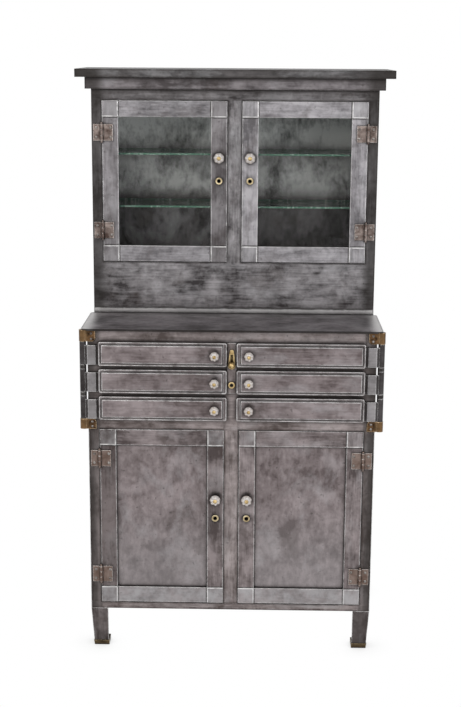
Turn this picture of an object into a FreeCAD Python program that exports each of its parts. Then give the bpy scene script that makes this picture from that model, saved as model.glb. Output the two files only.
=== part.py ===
"""Instrument cabinet: glazed showcase over a base with six swing-out trays and a cupboard.

Frame: X across the front (right positive), Y from front to back, Z up from the floor.
The origin lies on the floor under the middle of the whole cabinet. Millimetres.
"""

import FreeCAD
import Part
import Sketcher

import math
import os
import re

SIZES = {
    # Heights of the base, from the floor up
    "leg_height": 114,
    "bottom_rail_height": 19,
    "cupboard_height": 505,
    "middle_rail_height": 34,
    "tray_opening_height": 54,
    "tray_rail_height": 21.5,
    "top_rail_height": 41,
    "worktop_thickness": 2,
    # Heights of the showcase, from the worktop up
    "apron_height": 146,
    "showcase_height": 450,
    "header_height": 30,
    "cornice_height": 32,
    "crown_height": 22,
    # Widths and depths
    "base_width": 782,
    "base_depth": 460,
    "upper_side_step": 6,
    "upper_depth": 238,
    "corner_stile_width": 29,
    "upper_stile_width": 27.5,
    "centre_stile_width": 39,
    "frame_depth": 18.5,
    "panel_sheet": 1.5,
    # Worktop ledge
    "worktop_front_overhang": 20,
    "worktop_side_overhang": 15,
    "worktop_corner_radius": 14,
    "worktop_lip": 3.5,
    # Cornice and crown
    "cornice_overhang": 15.5,
    "crown_overhang": 40,
    "crown_flange": 30,
    "plinth_height": 14,
    "plinth_proud": 2.5,
    # Doors
    "door_gap": 1.5,
    "door_depth": 18,
    "door_frame_width": 44.5,
    "corner_square_proud": 1.2,
    "infill_setback": 6,
    "infill_lap": 8,
    "infill_clearance": 0.3,
    "glass_thickness": 3,
    "liner_lap": 5,
    "strike_lap": 8,
    "strike_thickness": 2,
    # Door hinges
    "hinge_height": 46,
    "hinge_leaf_thickness": 2,
    "hinge_barrel": 8.5,
    "hinge_pin": 4.5,
    "hinge_fit": 0.05,
    "hinge_knuckle_gap": 0.3,
    "hinge_tip": 2.5,
    "hinge_tip_bead": 6.5,
    "frame_leaf_width": 24,
    "door_leaf_width": 31,
    "showcase_hinge_inset": 89,
    "cupboard_hinge_inset": 84,
    # Knobs and their through bolts
    "door_knob": 30,
    "tray_knob": 26,
    "knob_length": 25,
    "knob_bolt": 5,
    "knob_bolt_clearance": 0.15,
    "knob_bolt_head": 9,
    "knob_bolt_head_height": 2.5,
    "knob_nut": 9,
    "knob_nut_height": 3,
    "showcase_knob_above_middle": 68,
    "cupboard_knob_above_middle": 55,
    # Door locks
    "showcase_lock_above_middle": 4,
    "cupboard_lock_above_middle": -1,
    "lock_ring": 19,
    "lock_ring_height": 3,
    "lock_barrel": 13,
    "lock_bore": 8.5,
    "lock_bore_depth": 9,
    "lock_post": 3,
    "lock_case_width": 34,
    "lock_case_height": 46,
    # Swing-out trays
    "tray_overlap": 5.5,
    "tray_centre_overlap": 6,
    "tray_end_gap": 2,
    "tray_plate": 7,
    "tray_rim_width": 3,
    "tray_rim_proud": 3,
    "tray_field_proud": 7,
    "tray_field_bevel": 2.5,
    "tray_field_margin": 6,
    "tray_field_inner_margin": 9.5,
    "tray_front_sheet": 1.5,
    "tray_front_boss": 16,
    "tray_corner_radius": 5,
    "tray_sheet": 1.2,
    "tray_box_height": 48,
    "tray_box_depth": 300,
    "tray_side_clearance": 5,
    "tray_swing_clearance": 3,
    "tray_knob_inset": 33,
    "strap_thickness": 2,
    "strap_clearance": 1,
    "strap_height": 54,
    "strap_drop": 4.5,
    "strap_lap": 30,
    "arm_plate_width": 23,
    "arm_plate_proud": 2,
    # Tray pivots
    "pivot_offset": 12.5,
    "pivot_setback": 4,
    "pivot_rod": 8,
    "pivot_fit": 0.05,
    "pivot_barrel": 18,
    "pivot_end_play": 0.25,
    "collar_height": 11,
    # Brass corner brackets
    "bracket_sheet": 3,
    "bracket_reach": 22,
    "bracket_corner_radius": 9,
    "bracket_boss": 20,
    "bracket_top_gap": 4,
    # Centre lock
    "lock_strip_width": 25,
    "lock_strip_thickness": 5,
    "latch_plate_width": 20,
    "latch_plate_top_width": 11,
    "latch_plate_height": 54,
    "latch_plate_thickness": 2,
    "latch_plate_rise": 68,
    "latch_slot_width": 8,
    "latch_slot_height": 33,
    "latch_slot_rise": 7,
    "latch_travel": 20,
    "latch_shank": 7,
    "latch_ball": 17,
    "latch_neck": 3,
    "latch_bar_width": 22,
    "latch_bar_thickness": 3,
    "latch_bar_height": 60,
    "latch_bar_gap": 0.4,
    "cylinder_rise": 24,
    "cylinder_ring": 18,
    "cylinder_proud": 4,
    "cylinder_plug": 9,
    "cylinder_plug_length": 14,
    "cylinder_plug_proud": 1,
    "cylinder_fit": 0.1,
    "keyway_width": 2,
    "keyway_height": 6,
    "keyway_depth": 8,
    # Shelves
    "shelf_glass": 5,
    "shelf_front_gap": 24,
    "shelf_back_gap": 6,
    "shelf_end_gap": 2,
    "shelf_rise": 154.5,
    "shelf_spacing": 147.5,
    "cupboard_shelf_rise": 250,
    "cupboard_shelf_front_gap": 54,
    "cupboard_shelf_hem": 12,
    "clip_width": 14,
    "clip_reach": 14,
    "clip_height": 16,
    "clip_sheet": 2,
    "clip_inset": 30,
    "tray_deck_drop": 20,
    # Legs and shoes
    "leg_width": 47,
    "leg_taper": 6.5,
    "leg_sheet": 3,
    "shoe_height": 14,
    "shoe_lip": 1.5,
    "shoe_taper": 2,
    # One overrun lets every cut pass the face that it opens
    "overrun": 2,
}

# Outline of a pressed glass knob: radius and distance from the seat, as shares of its size
KNOB_RADIUS_SHARES = (0.50, 0.44, 0.86, 1.00, 0.96, 0.66)
KNOB_LENGTH_SHARES = (0.00, 0.22, 0.50, 0.66, 0.84, 1.00)
KNOB_SIDES = 10
HEX_SIDES = 6
# An edge whose length lies along an axis by this share counts as straight along it
STRAIGHT_SHARE = 0.999
TRAY_ROWS = ("bottom", "middle", "top")
SHELF_COUNT = 2

# Places worked out from the sizes
PLACES = {
    "half_base": "base_width / 2",
    "half_upper": "half_base + upper_side_step",
    "tray_seat": "strap_clearance + strap_thickness",
    "front_reach": "tray_seat + tray_plate + tray_field_proud + knob_length + knob_bolt_head_height",
    "face": "(front_reach - base_depth) / 2",
    "back": "face + base_depth",
    "upper_face": "back - upper_depth",
    "inside_back": "back - panel_sheet",
    "cupboard_bottom": "leg_height + bottom_rail_height",
    "cupboard_top": "cupboard_bottom + cupboard_height",
    "trays_bottom": "cupboard_top + middle_rail_height",
    "tray_pitch": "tray_opening_height + tray_rail_height",
    "top_rail_bottom": "trays_bottom + 2 * tray_pitch + tray_opening_height",
    "worktop_under": "top_rail_bottom + top_rail_height",
    "worktop_top": "worktop_under + worktop_thickness",
    "showcase_bottom": "worktop_top + apron_height",
    "showcase_top": "showcase_bottom + showcase_height",
    "upper_top": "showcase_top + header_height",
    "ceiling_under": "upper_top - panel_sheet",
    "cornice_top": "upper_top + cornice_height",
    "crown_top": "cornice_top + crown_height",
    "opening_inner": "centre_stile_width / 2",
    "base_opening_outer": "half_base - corner_stile_width",
    "upper_opening_outer": "half_upper - upper_stile_width",
    "pivot_x": "half_base + pivot_offset",
    "pivot_y": "face + pivot_setback",
    "barrel_height": "tray_pitch - collar_height - 2 * pivot_end_play",
    "tray_front_height": "tray_opening_height + 2 * tray_overlap",
    "tray_front_inner": "opening_inner - tray_centre_overlap",
    "tray_front_outer": "base_opening_outer - tray_end_gap",
    "tray_back_plane": "face - tray_seat",
    "tray_rim_plane": "tray_back_plane - tray_plate",
    "tray_field_plane": "tray_rim_plane - tray_field_proud",
    "tray_box_outer": "base_opening_outer - tray_side_clearance",
    "tray_swing_radius": "pivot_x - opening_inner - tray_swing_clearance",
    "tray_knob_x": "tray_front_inner + tray_knob_inset",
    "row_bottom": "trays_bottom + tray_opening_height / 2",
    "row_middle": "row_bottom + tray_pitch",
    "row_top": "row_middle + tray_pitch",
    "bracket_low_top": "row_bottom - barrel_height / 2 - pivot_end_play",
    "bracket_high_bottom": "row_top + barrel_height / 2 + pivot_end_play",
    "bracket_high_top": "worktop_under - bracket_top_gap",
    "lock_strip_bottom": "row_middle - tray_front_height / 2",
    "lock_strip_top": "row_top + tray_front_height / 2",
    "lock_strip_plane": "face - lock_strip_thickness",
    "latch_plate_plane": "lock_strip_plane - latch_plate_thickness",
    "latch_bottom": "lock_strip_bottom + latch_plate_rise",
    "latch_slot_bottom": "latch_bottom + latch_slot_rise",
    "latch_rest": "latch_slot_bottom + (latch_slot_height - latch_travel) / 2",
    "cylinder_z": "lock_strip_bottom + cylinder_rise",
    "hinge_offset": "hinge_barrel / 2",
    "knuckle_height": "hinge_height / 3",
    "leg_inner": "half_base - leg_width",
}


def ex(text):
    """Spell a size expression out in cells of the sheet."""
    def spell(match):
        word = match.group(0)
        if word in PLACES:
            return "(" + ex(PLACES[word]) + ")"
        return "Sizes." + word
    return re.sub(r"[a-z_]+", spell, text)


doc = FreeCAD.newDocument("instrument_cabinet")
sheet = doc.addObject("Spreadsheet::Sheet", "Sizes")
for row, (alias, value) in enumerate(SIZES.items(), start=1):
    sheet.set(f"A{row}", alias)
    sheet.set(f"B{row}", str(value))
    sheet.setAlias(f"B{row}", alias)
doc.recompute()

ALONG_Y = FreeCAD.Rotation(FreeCAD.Vector(1, 0, 0), -90)
TOWARDS_VIEWER = FreeCAD.Rotation(FreeCAD.Vector(1, 0, 0), 90)
nodes = []


# Building blocks

def bind(item, **expressions):
    """Tie the named properties of an object to sizes."""
    for name, text in expressions.items():
        item.setExpression(name.replace("__", "."), ex(text))
    return item


def place(item, x="0", y="0", z="0", turn=None):
    """Put an object at a place worked out from sizes."""
    if turn:
        item.Placement = FreeCAD.Placement(FreeCAD.Vector(), turn)
    return bind(item, Placement__Base__x=x, Placement__Base__y=y, Placement__Base__z=z)


def block(name, x0, x1, y0, y1, z0, z1):
    """Rectangular block between two corners."""
    item = doc.addObject("Part::Box", name)
    bind(item, Length=f"({x1}) - ({x0})", Width=f"({y1}) - ({y0})", Height=f"({z1}) - ({z0})")
    return place(item, x0, y0, z0)


def rod(name, radius, length, x, y, z, turn=None):
    """Cylinder that starts at a place and runs along Z, or along Y when turned."""
    item = doc.addObject("Part::Cylinder", name)
    bind(item, Radius=radius, Height=length)
    return place(item, x, y, z, turn)


def cut(name, base, *tools):
    """Take tools away from a base."""
    item = doc.addObject("Part::Cut", name)
    item.Base = base
    item.Tool = tools[0] if len(tools) == 1 else fuse(name + "_tools", *tools)
    return item


def fuse(name, *shapes):
    """Weld shapes into one piece."""
    item = doc.addObject("Part::MultiFuse", name)
    item.Shapes = list(shapes)
    item.Refine = True
    return item


def common(name, *shapes):
    """What shapes share."""
    item = doc.addObject("Part::MultiCommon", name)
    item.Shapes = list(shapes)
    return item


def group(name, *shapes):
    """Separate solids that share one node."""
    item = doc.addObject("Part::Compound", name)
    item.Links = list(shapes)
    return item


def mirrored(name, source, normal=(1, 0, 0), at_y=None):
    """The same piece on the other hand, across the middle plane or a plane of constant Y."""
    item = doc.addObject("Part::Mirroring", name)
    item.Source = source
    item.Normal = normal
    if at_y:
        item.setExpression("Base.y", ex(at_y))
    return item


def node(name, item):
    """Hand a piece over under its node name."""
    item.Label = name
    nodes.append((name, item))
    return item


def rectangle(u0, u1, v0, v1):
    """Corner points of a rectangular loop."""
    return [(u0, v0), (u1, v0), (u1, v1), (u0, v1)]


def draw(body, name, plane, offset, loops=(), circles=()):
    """Sketch of closed straight loops and circles, every point tied to sizes."""
    sketch = body.newObject("Sketcher::SketchObject", name)
    origin = [part for part in body.Origin.OriginFeatures if part.Role == plane]
    sketch.AttachmentSupport = [(origin[0], "")]
    sketch.MapMode = "FlatFace"
    bind(sketch, AttachmentOffset__Base__z=offset)
    for loop in loops:
        first = sketch.GeometryCount
        count = len(loop)
        turns = [2 * math.pi * step / count for step in range(count + 1)]
        corners = [FreeCAD.Vector(math.cos(turn), math.sin(turn), 0) for turn in turns]
        for step in range(count):
            sketch.addGeometry(Part.LineSegment(corners[step], corners[step + 1]))
        for step in range(count):
            follower = first + (step + 1) % count
            sketch.addConstraint(Sketcher.Constraint("Coincident", first + step, 2, follower, 1))
        for step, point in enumerate(loop):
            tie_point(sketch, first + step, 1, point)
    for u, v, radius in circles:
        ring = sketch.addGeometry(Part.Circle(FreeCAD.Vector(1, 1, 0), FreeCAD.Vector(0, 0, 1), 1))
        tie_point(sketch, ring, 3, (u, v))
        index = sketch.addConstraint(Sketcher.Constraint("Radius", ring, 1.0))
        sketch.setExpression(f"Constraints[{index}]", ex(radius))
    return sketch


def tie_point(sketch, geometry, position, point):
    """Hold a sketch point at its two distances from the origin."""
    for kind, text in zip(("DistanceX", "DistanceY"), point):
        index = sketch.addConstraint(Sketcher.Constraint(kind, -1, 1, geometry, position, 1.0))
        sketch.setExpression(f"Constraints[{index}]", ex(text))


def feature(body, kind, name, sketch, length, backwards):
    """Pad or pocket of a sketch, along its normal or backwards."""
    item = body.newObject("PartDesign::" + kind, name)
    item.Profile = sketch
    item.Reversed = backwards
    bind(item, Length=length)
    return item


def new_body(name):
    """Empty piece to sketch on."""
    return doc.addObject("PartDesign::Body", name)


def round_corners(body, name, padded, axis, radius, pick):
    """Round the edges along Y or Z that are picked by where they lie in the outline, as shares of it."""
    doc.recompute()
    box = padded.Shape.BoundBox
    picked = []
    for number, edge in enumerate(padded.Shape.Edges, start=1):
        centre = edge.CenterOfMass
        across_share = (centre.x - box.XMin) / box.XLength
        if axis == "y":
            other_share = (centre.z - box.ZMin) / box.ZLength
            span = edge.BoundBox.YLength
        else:
            other_share = (centre.y - box.YMin) / box.YLength
            span = edge.BoundBox.ZLength
        if span > edge.Length * STRAIGHT_SHARE and pick(round(across_share, 3), round(other_share, 3)):
            picked.append(f"Edge{number}")
    rounding = body.newObject("PartDesign::Fillet", name)
    rounding.Base = (padded, picked)
    bind(rounding, Radius=radius)


# Sheet metal carcass of the base

def channel(name, x0, x1, z0, z1, upright):
    """Face frame member: a folded channel with its open side to the back."""
    outer = block(name + "_outer", x0, x1, "face", "face + frame_depth", z0, z1)
    hollow = {
        True: (f"{x0} + panel_sheet", f"{x1} - panel_sheet", f"{z0} - overrun", f"{z1} + overrun"),
        False: (f"{x0} - overrun", f"{x1} + overrun", f"{z0} + panel_sheet", f"{z1} - panel_sheet"),
    }[upright]
    inner = block(name + "_inner", hollow[0], hollow[1], "face + panel_sheet",
                  "face + frame_depth + overrun", hollow[2], hollow[3])
    return cut(name, outer, inner)


def make_base_panels():
    """Two sides and the back between them."""
    side = block("base_side", "half_base - panel_sheet", "half_base", "face", "back",
                 "leg_height", "worktop_under")
    back = block("base_back", "panel_sheet - half_base", "half_base - panel_sheet",
                 "inside_back", "back", "leg_height", "worktop_under")
    node("base_panels", group("base_panels", side, mirrored("base_side_left", side), back))


def make_base_decks():
    """Cupboard floor and the deck under the trays, between the face frame and the back."""
    decks = []
    for name, top in (("cupboard_floor", "cupboard_bottom"), ("tray_deck", "trays_bottom - tray_deck_drop")):
        decks.append(block(name, "panel_sheet - half_base", "half_base - panel_sheet",
                           "face + frame_depth", "inside_back", f"{top} - panel_sheet", top))
    node("base_decks", group("base_decks", *decks))


def make_base_face_frame():
    """Corner stiles, centre stile, three rails and the strips between the trays."""
    stile = channel("corner_stile", "base_opening_outer", "half_base - panel_sheet",
                    "leg_height", "worktop_under", True)
    members = [stile, mirrored("corner_stile_left", stile)]
    members.append(channel("bottom_rail", "-base_opening_outer", "base_opening_outer",
                           "leg_height", "cupboard_bottom", False))
    members.append(channel("top_rail", "-base_opening_outer", "base_opening_outer",
                           "top_rail_bottom", "worktop_under", False))
    centre = channel("centre_stile_blank", "-opening_inner", "opening_inner",
                     "cupboard_bottom", "top_rail_bottom", True)
    slot = latch_slot("centre_stile_slot")
    bore = rod("centre_stile_bore", "cylinder_plug / 2 + cylinder_fit", "frame_depth", "0",
               "face - overrun", "cylinder_z", ALONG_Y)
    members.append(cut("centre_stile", centre, slot, bore))
    strips = [("middle_rail", "cupboard_top", "trays_bottom")]
    for index in (1, 2):
        below = f"trays_bottom + {index} * tray_pitch"
        strips.append((f"tray_rail_{index}", f"{below} - tray_rail_height", below))
    for name, low, high in strips:
        strip = channel(name, "opening_inner", "base_opening_outer", low, high, False)
        members += [strip, mirrored(name + "_left", strip)]
    node("base_face_frame", group("base_face_frame", *members))


def make_cupboard_shelf():
    """Steel shelf with its front edge turned down."""
    top = "cupboard_bottom + cupboard_shelf_rise"
    half = "half_base - panel_sheet - shelf_end_gap"
    front = "face + frame_depth + cupboard_shelf_front_gap"
    body = new_body("cupboard_shelf")
    profile = draw(body, "cupboard_shelf_profile", "YZ_Plane", f"-({half})", [[
        (front, f"{top} - cupboard_shelf_hem"),
        (f"{front} + panel_sheet", f"{top} - cupboard_shelf_hem"),
        (f"{front} + panel_sheet", f"{top} - panel_sheet"),
        ("inside_back - shelf_back_gap", f"{top} - panel_sheet"),
        ("inside_back - shelf_back_gap", top),
        (front, top),
    ]])
    feature(body, "Pad", "cupboard_shelf_pad", profile, f"2 * ({half})", False)
    node("cupboard_shelf", body)


def make_worktop():
    """Ledge wider than the case in front of the showcase, with a lip turned down at its edges."""
    wide = "half_base + worktop_side_overhang"
    front = "face - worktop_front_overhang"
    body = new_body("worktop_sheet")
    plan = draw(body, "worktop_plan", "XY_Plane", "worktop_under", [[
        (f"-({wide})", front), (wide, front), (wide, "upper_face"), ("half_base", "upper_face"),
        ("half_base", "back"), ("-half_base", "back"), ("-half_base", "upper_face"),
        (f"-({wide})", "upper_face"),
    ]])
    pad = feature(body, "Pad", "worktop_pad", plan, "worktop_thickness", False)
    round_corners(body, "worktop_corners", pad, "z", "worktop_corner_radius",
                  lambda across_share, depth_share: across_share in (0, 1))
    lips = [block("worktop_front_lip", f"worktop_corner_radius - ({wide})", f"{wide} - worktop_corner_radius",
                  front, f"{front} + worktop_thickness", "worktop_under - worktop_lip", "worktop_under")]
    side = block("worktop_side_lip", f"{wide} - worktop_thickness", wide, f"{front} + worktop_corner_radius",
                 "upper_face - worktop_corner_radius", "worktop_under - worktop_lip", "worktop_under")
    lips += [side, mirrored("worktop_side_lip_left", side)]
    node("worktop", fuse("worktop", body, *lips))


def tapered(name, inner, outer_low, outer_high, depth_low, depth_high, far, low, high):
    """Upright post whose two outer faces lean: a wedge stood on end, with Y held as minus depth."""
    item = doc.addObject("Part::Wedge", name)
    item.Placement = FreeCAD.Placement(FreeCAD.Vector(), TOWARDS_VIEWER)
    bind(item, Xmin=inner, Xmax=outer_low, X2min=inner, X2max=outer_high)
    bind(item, Zmin=f"-({far})", Zmax=f"-({depth_low})", Z2min=f"-({far})", Z2max=f"-({depth_high})")
    return bind(item, Ymin=low, Ymax=high)


def make_legs():
    """Folded angle legs that taper to metal shoes."""
    rear_of_leg = "face + leg_width"
    skin = tapered("leg_skin", "leg_inner", "half_base - leg_taper", "half_base", "face + leg_taper", "face",
                   rear_of_leg, "shoe_height", "leg_height")
    hollow = tapered("leg_hollow", "leg_inner - overrun", "half_base - leg_taper - leg_sheet",
                     "half_base - leg_sheet", "face + leg_taper + leg_sheet", "face + leg_sheet",
                     f"{rear_of_leg} + overrun", "shoe_height", "leg_height")
    leg = cut("leg_front_right", skin, hollow)
    shoe = tapered("shoe_front_right", "leg_inner - shoe_lip",
                   "half_base - leg_taper + shoe_lip - shoe_taper", "half_base - leg_taper + shoe_lip",
                   "face + leg_taper - shoe_lip + shoe_taper", "face + leg_taper - shoe_lip",
                   f"{rear_of_leg} + shoe_lip", "0", "shoe_height")
    for name, piece in (("legs", leg), ("leg_shoes", shoe)):
        left = mirrored(name + "_front_left", piece)
        rear = [mirrored(f"{name}_rear_{index}", item, (0, 1, 0), "(face + back) / 2")
                for index, item in enumerate((piece, left))]
        node(name, group(name, piece, left, *rear))


# Swing-out trays and what they hang on

def make_tray(row):
    """Pressed front, sector-shaped pan with its hinge strap, and glass knob."""
    name = f"right_{row}_tray"
    level = f"row_{row}"
    make_tray_front(name, level)
    make_tray_box(name, level)
    knob = make_knob(f"{name}_knob", "tray_knob_x", "tray_field_plane", level, "tray_knob",
                     "tray_plate + tray_field_proud + tray_sheet")
    node(knob.Name, knob)


def make_tray_front(name, level):
    """Front with a raised rim and a bevelled field, hollow behind but for a boss round the knob's bolt."""
    low = f"{level} - tray_front_height / 2"
    high = f"{level} + tray_front_height / 2"
    body = new_body(name + "_blank")
    outline = rectangle("tray_front_inner", "tray_front_outer", low, high)
    plate = draw(body, name + "_outline", "XZ_Plane", "-tray_back_plane", [outline])
    feature(body, "Pad", name + "_plate", plate, "tray_plate", False)
    inside = rectangle("tray_front_inner + tray_rim_width", "tray_front_outer - tray_rim_width",
                       f"{low} + tray_rim_width", f"{high} - tray_rim_width")
    rim = draw(body, name + "_rim_outline", "XZ_Plane", "-tray_rim_plane", [outline, inside])
    rim_pad = feature(body, "Pad", name + "_rim", rim, "tray_rim_proud", False)
    round_corners(body, name + "_corners", rim_pad, "y", "tray_corner_radius",
                  lambda across_share, rise_share: across_share in (0, 1) and rise_share in (0, 1))
    field = doc.addObject("Part::Wedge", name + "_field")
    left = "tray_front_inner + tray_field_inner_margin"
    right = "tray_front_outer - tray_field_margin"
    bottom = f"{low} + tray_field_margin"
    top = f"{high} - tray_field_margin"
    bind(field, Ymin="tray_field_plane", Ymax="tray_rim_plane")
    bind(field, X2min=left, X2max=right, Z2min=bottom, Z2max=top)
    bind(field, Xmin=f"{left} + tray_field_bevel", Xmax=f"{right} - tray_field_bevel",
         Zmin=f"{bottom} + tray_field_bevel", Zmax=f"{top} - tray_field_bevel")
    pressed = fuse(name + "_pressed", body, field)
    hollow = block(name + "_hollow", f"{left} + tray_field_bevel", f"{right} - tray_field_bevel",
                   "tray_field_plane + tray_front_sheet", "tray_back_plane + overrun",
                   f"{bottom} + tray_field_bevel", f"{top} - tray_field_bevel")
    through = "tray_plate + tray_field_proud + 2 * overrun"
    boss = rod(name + "_boss", "tray_front_boss / 2", through, "tray_knob_x", "tray_field_plane",
               level, ALONG_Y)
    hole = rod(name + "_bolt_hole", "knob_bolt / 2 + knob_bolt_clearance", through, "tray_knob_x",
               "tray_field_plane - overrun", level, ALONG_Y)
    node(name + "_front", cut(name + "_front", pressed, cut(name + "_space", hollow, boss), hole))


def make_tray_box(name, level):
    """Pan whose inner end is an arc about the pivot, welded to a plated strap that rolls round the rod."""
    low = f"{level} - tray_box_height / 2"
    high = f"{level} + tray_box_height / 2"
    skins = []
    for skin, inset, floor, rim in (("outside", "0", low, high),
                                    ("inside", "tray_sheet", f"{low} + tray_sheet", f"{high} + overrun")):
        slab = block(f"{name}_{skin}_slab", "opening_inner", f"tray_box_outer - {inset}",
                     f"tray_back_plane + {inset}", f"tray_back_plane + tray_box_depth - {inset}", floor, rim)
        sweep = rod(f"{name}_{skin}_sweep", f"tray_swing_radius - {inset}", f"{rim} - ({floor})",
                    "pivot_x", "pivot_y", floor)
        skins.append(common(f"{name}_{skin}", slab, sweep))
    pan = cut(name + "_pan", *skins)
    strap_low = f"{level} - strap_drop - strap_height / 2"
    strap = block(name + "_strap", "tray_box_outer - strap_lap", "pivot_x", "tray_back_plane",
                  "tray_back_plane + strap_thickness",
                  strap_low, f"{strap_low} + strap_height")
    arm = block(name + "_arm_plate", "half_base - arm_plate_width", "half_base",
                "tray_back_plane - arm_plate_proud", "tray_back_plane",
                strap_low, f"{strap_low} + strap_height")
    barrel = rod(name + "_barrel", "pivot_barrel / 2", "barrel_height", "pivot_x", "pivot_y",
                 f"{level} - barrel_height / 2")
    welded = fuse(name + "_welded", pan, strap, arm, barrel)
    bore = rod(name + "_bore", "pivot_rod / 2 + pivot_fit", "barrel_height + 2 * overrun",
               "pivot_x", "pivot_y", f"{level} - barrel_height / 2 - overrun")
    hole = rod(name + "_nut_hole", "knob_bolt / 2 + knob_bolt_clearance", "tray_sheet + 2 * overrun",
               "tray_knob_x", "tray_back_plane - overrun", level, ALONG_Y)
    node(name + "_box", cut(name + "_box", welded, bore, hole))


def make_pivots():
    """Rods through the brackets, with collars that keep the trays apart."""
    length = "bracket_high_top - cupboard_top"
    pieces = [rod("pivot_rod_right", "pivot_rod / 2", length, "pivot_x", "pivot_y", "cupboard_top")]
    for index in (1, 2):
        foot = f"row_bottom + {index} * tray_pitch - tray_pitch / 2 - collar_height / 2"
        outer = rod(f"collar_{index}_outer", "pivot_barrel / 2", "collar_height", "pivot_x", "pivot_y", foot)
        bore = rod(f"collar_{index}_bore", "pivot_rod / 2 + pivot_fit", "collar_height + 2 * overrun",
                   "pivot_x", "pivot_y", f"{foot} - overrun")
        pieces.append(cut(f"collar_{index}_right", outer, bore))
    pieces += [mirrored(piece.Name + "_mirror", piece) for piece in list(pieces)]
    node("pivot_rods", group("pivot_rods", *pieces))


def make_brackets():
    """Brass corner brackets: a leaf on the corner stile and a round boss that holds the rod."""
    brackets = []
    for name, low, high, rounded in (("bracket_low", "cupboard_top", "bracket_low_top", (0, 1)),
                                     ("bracket_high", "bracket_high_bottom", "bracket_high_top", (0, 0))):
        leaf = new_body(name + "_leaf")
        outline = draw(leaf, name + "_outline", "XZ_Plane", "-face",
                       [rectangle("half_base - bracket_reach", "pivot_x", low, high)])
        pad = feature(leaf, "Pad", name + "_pad", outline, "bracket_sheet", False)
        round_corners(leaf, name + "_corner", pad, "y", "bracket_corner_radius",
                      lambda across_share, rise_share: (across_share, rise_share) == rounded)
        boss = rod(name + "_boss", "bracket_boss / 2", f"{high} - ({low})", "pivot_x", "pivot_y", low)
        bore = rod(name + "_bore", "pivot_rod / 2 + pivot_fit", f"{high} - ({low}) + 2 * overrun",
                   "pivot_x", "pivot_y", f"{low} - overrun")
        right = cut(name, fuse(name + "_cast", leaf, boss), bore)
        brackets += [right, mirrored(name + "_left", right)]
    node("corner_brackets", group("corner_brackets", *brackets))


# Centre lock

def latch_slot(name):
    """Upright slot that the thumb slide travels in, through everything at the centre."""
    return block(name, "-latch_slot_width / 2", "latch_slot_width / 2", "latch_plate_plane - overrun",
                 "face + panel_sheet + overrun", "latch_slot_bottom", "latch_slot_bottom + latch_slot_height")


def make_centre_lock():
    """Lock strip, brass latch plate and cylinder, the thumb slide and the key plug."""
    half = "lock_strip_width / 2"
    strip = block("lock_strip_blank", f"-{half}", half, "lock_strip_plane", "face",
                  "lock_strip_bottom", "lock_strip_top")
    seat = rod("lock_strip_bore", "cylinder_plug / 2 + cylinder_fit", "lock_strip_thickness + 2 * overrun",
               "0", "lock_strip_plane - overrun", "cylinder_z", ALONG_Y)
    node("lock_strip", cut("lock_strip", strip, latch_slot("lock_strip_slot"), seat))
    foot_half = "latch_plate_width / 2"
    head_half = "latch_plate_top_width / 2"
    foot = f"latch_bottom + {foot_half}"
    head = f"latch_bottom + latch_plate_height - {head_half}"
    plate = new_body("latch_plate_blank")
    outline = draw(plate, "latch_plate_outline", "XZ_Plane", "-lock_strip_plane",
                   [[(f"-{foot_half}", foot), (foot_half, foot), (head_half, head), (f"-{head_half}", head)]])
    feature(plate, "Pad", "latch_plate_pad", outline, "latch_plate_thickness", False)
    ends = [rod(name, radius, "latch_plate_thickness", "0", "latch_plate_plane", level, ALONG_Y)
            for name, radius, level in (("latch_plate_foot", foot_half, foot),
                                        ("latch_plate_head", head_half, head))]
    teardrop = fuse("latch_plate_teardrop", plate, *ends)
    latch_plate = cut("latch_plate", teardrop, latch_slot("latch_plate_slot"))
    ring = rod("cylinder_ring_outer", "cylinder_ring / 2", "cylinder_proud", "0",
               "lock_strip_plane - cylinder_proud", "cylinder_z", ALONG_Y)
    bore = rod("cylinder_ring_bore", "cylinder_plug / 2 + cylinder_fit", "cylinder_proud + 2 * overrun", "0",
               "lock_strip_plane - cylinder_proud - overrun", "cylinder_z", ALONG_Y)
    node("lock_escutcheons", group("lock_escutcheons", latch_plate, cut("lock_cylinder", ring, bore)))
    make_latch_slide()
    make_lock_plug()


def make_latch_slide():
    """Brass ball on a shank through the slot, fixed to a bar inside the stile."""
    ball_y = "latch_plate_plane - latch_neck - latch_ball / 2"
    ball = doc.addObject("Part::Sphere", "latch_slide_ball")
    bind(ball, Radius="latch_ball / 2")
    place(ball, "0", ball_y, "latch_rest")
    bar_front = "face + panel_sheet + latch_bar_gap"
    shank = rod("latch_slide_shank", "latch_shank / 2", f"{bar_front} - ({ball_y})", "0", ball_y,
                "latch_rest", ALONG_Y)
    bar = block("latch_slide_bar", "-latch_bar_width / 2", "latch_bar_width / 2", bar_front,
                f"{bar_front} + latch_bar_thickness", "latch_rest - latch_bar_height / 2",
                "latch_rest + latch_bar_height / 2")
    node("latch_slide", fuse("latch_slide", ball, shank, bar))


def make_lock_plug():
    """Round key plug with an upright keyway."""
    front = "lock_strip_plane - cylinder_proud - cylinder_plug_proud"
    plug = rod("lock_plug_blank", "cylinder_plug / 2", "cylinder_plug_length", "0", front,
               "cylinder_z", ALONG_Y)
    keyway = block("lock_plug_keyway", "-keyway_width / 2", "keyway_width / 2",
                   f"{front} - overrun", f"{front} + keyway_depth",
                   "cylinder_z - keyway_height / 2", "cylinder_z + keyway_height / 2")
    node("lock_plug", cut("lock_plug", plug, keyway))


# Doors

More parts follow.
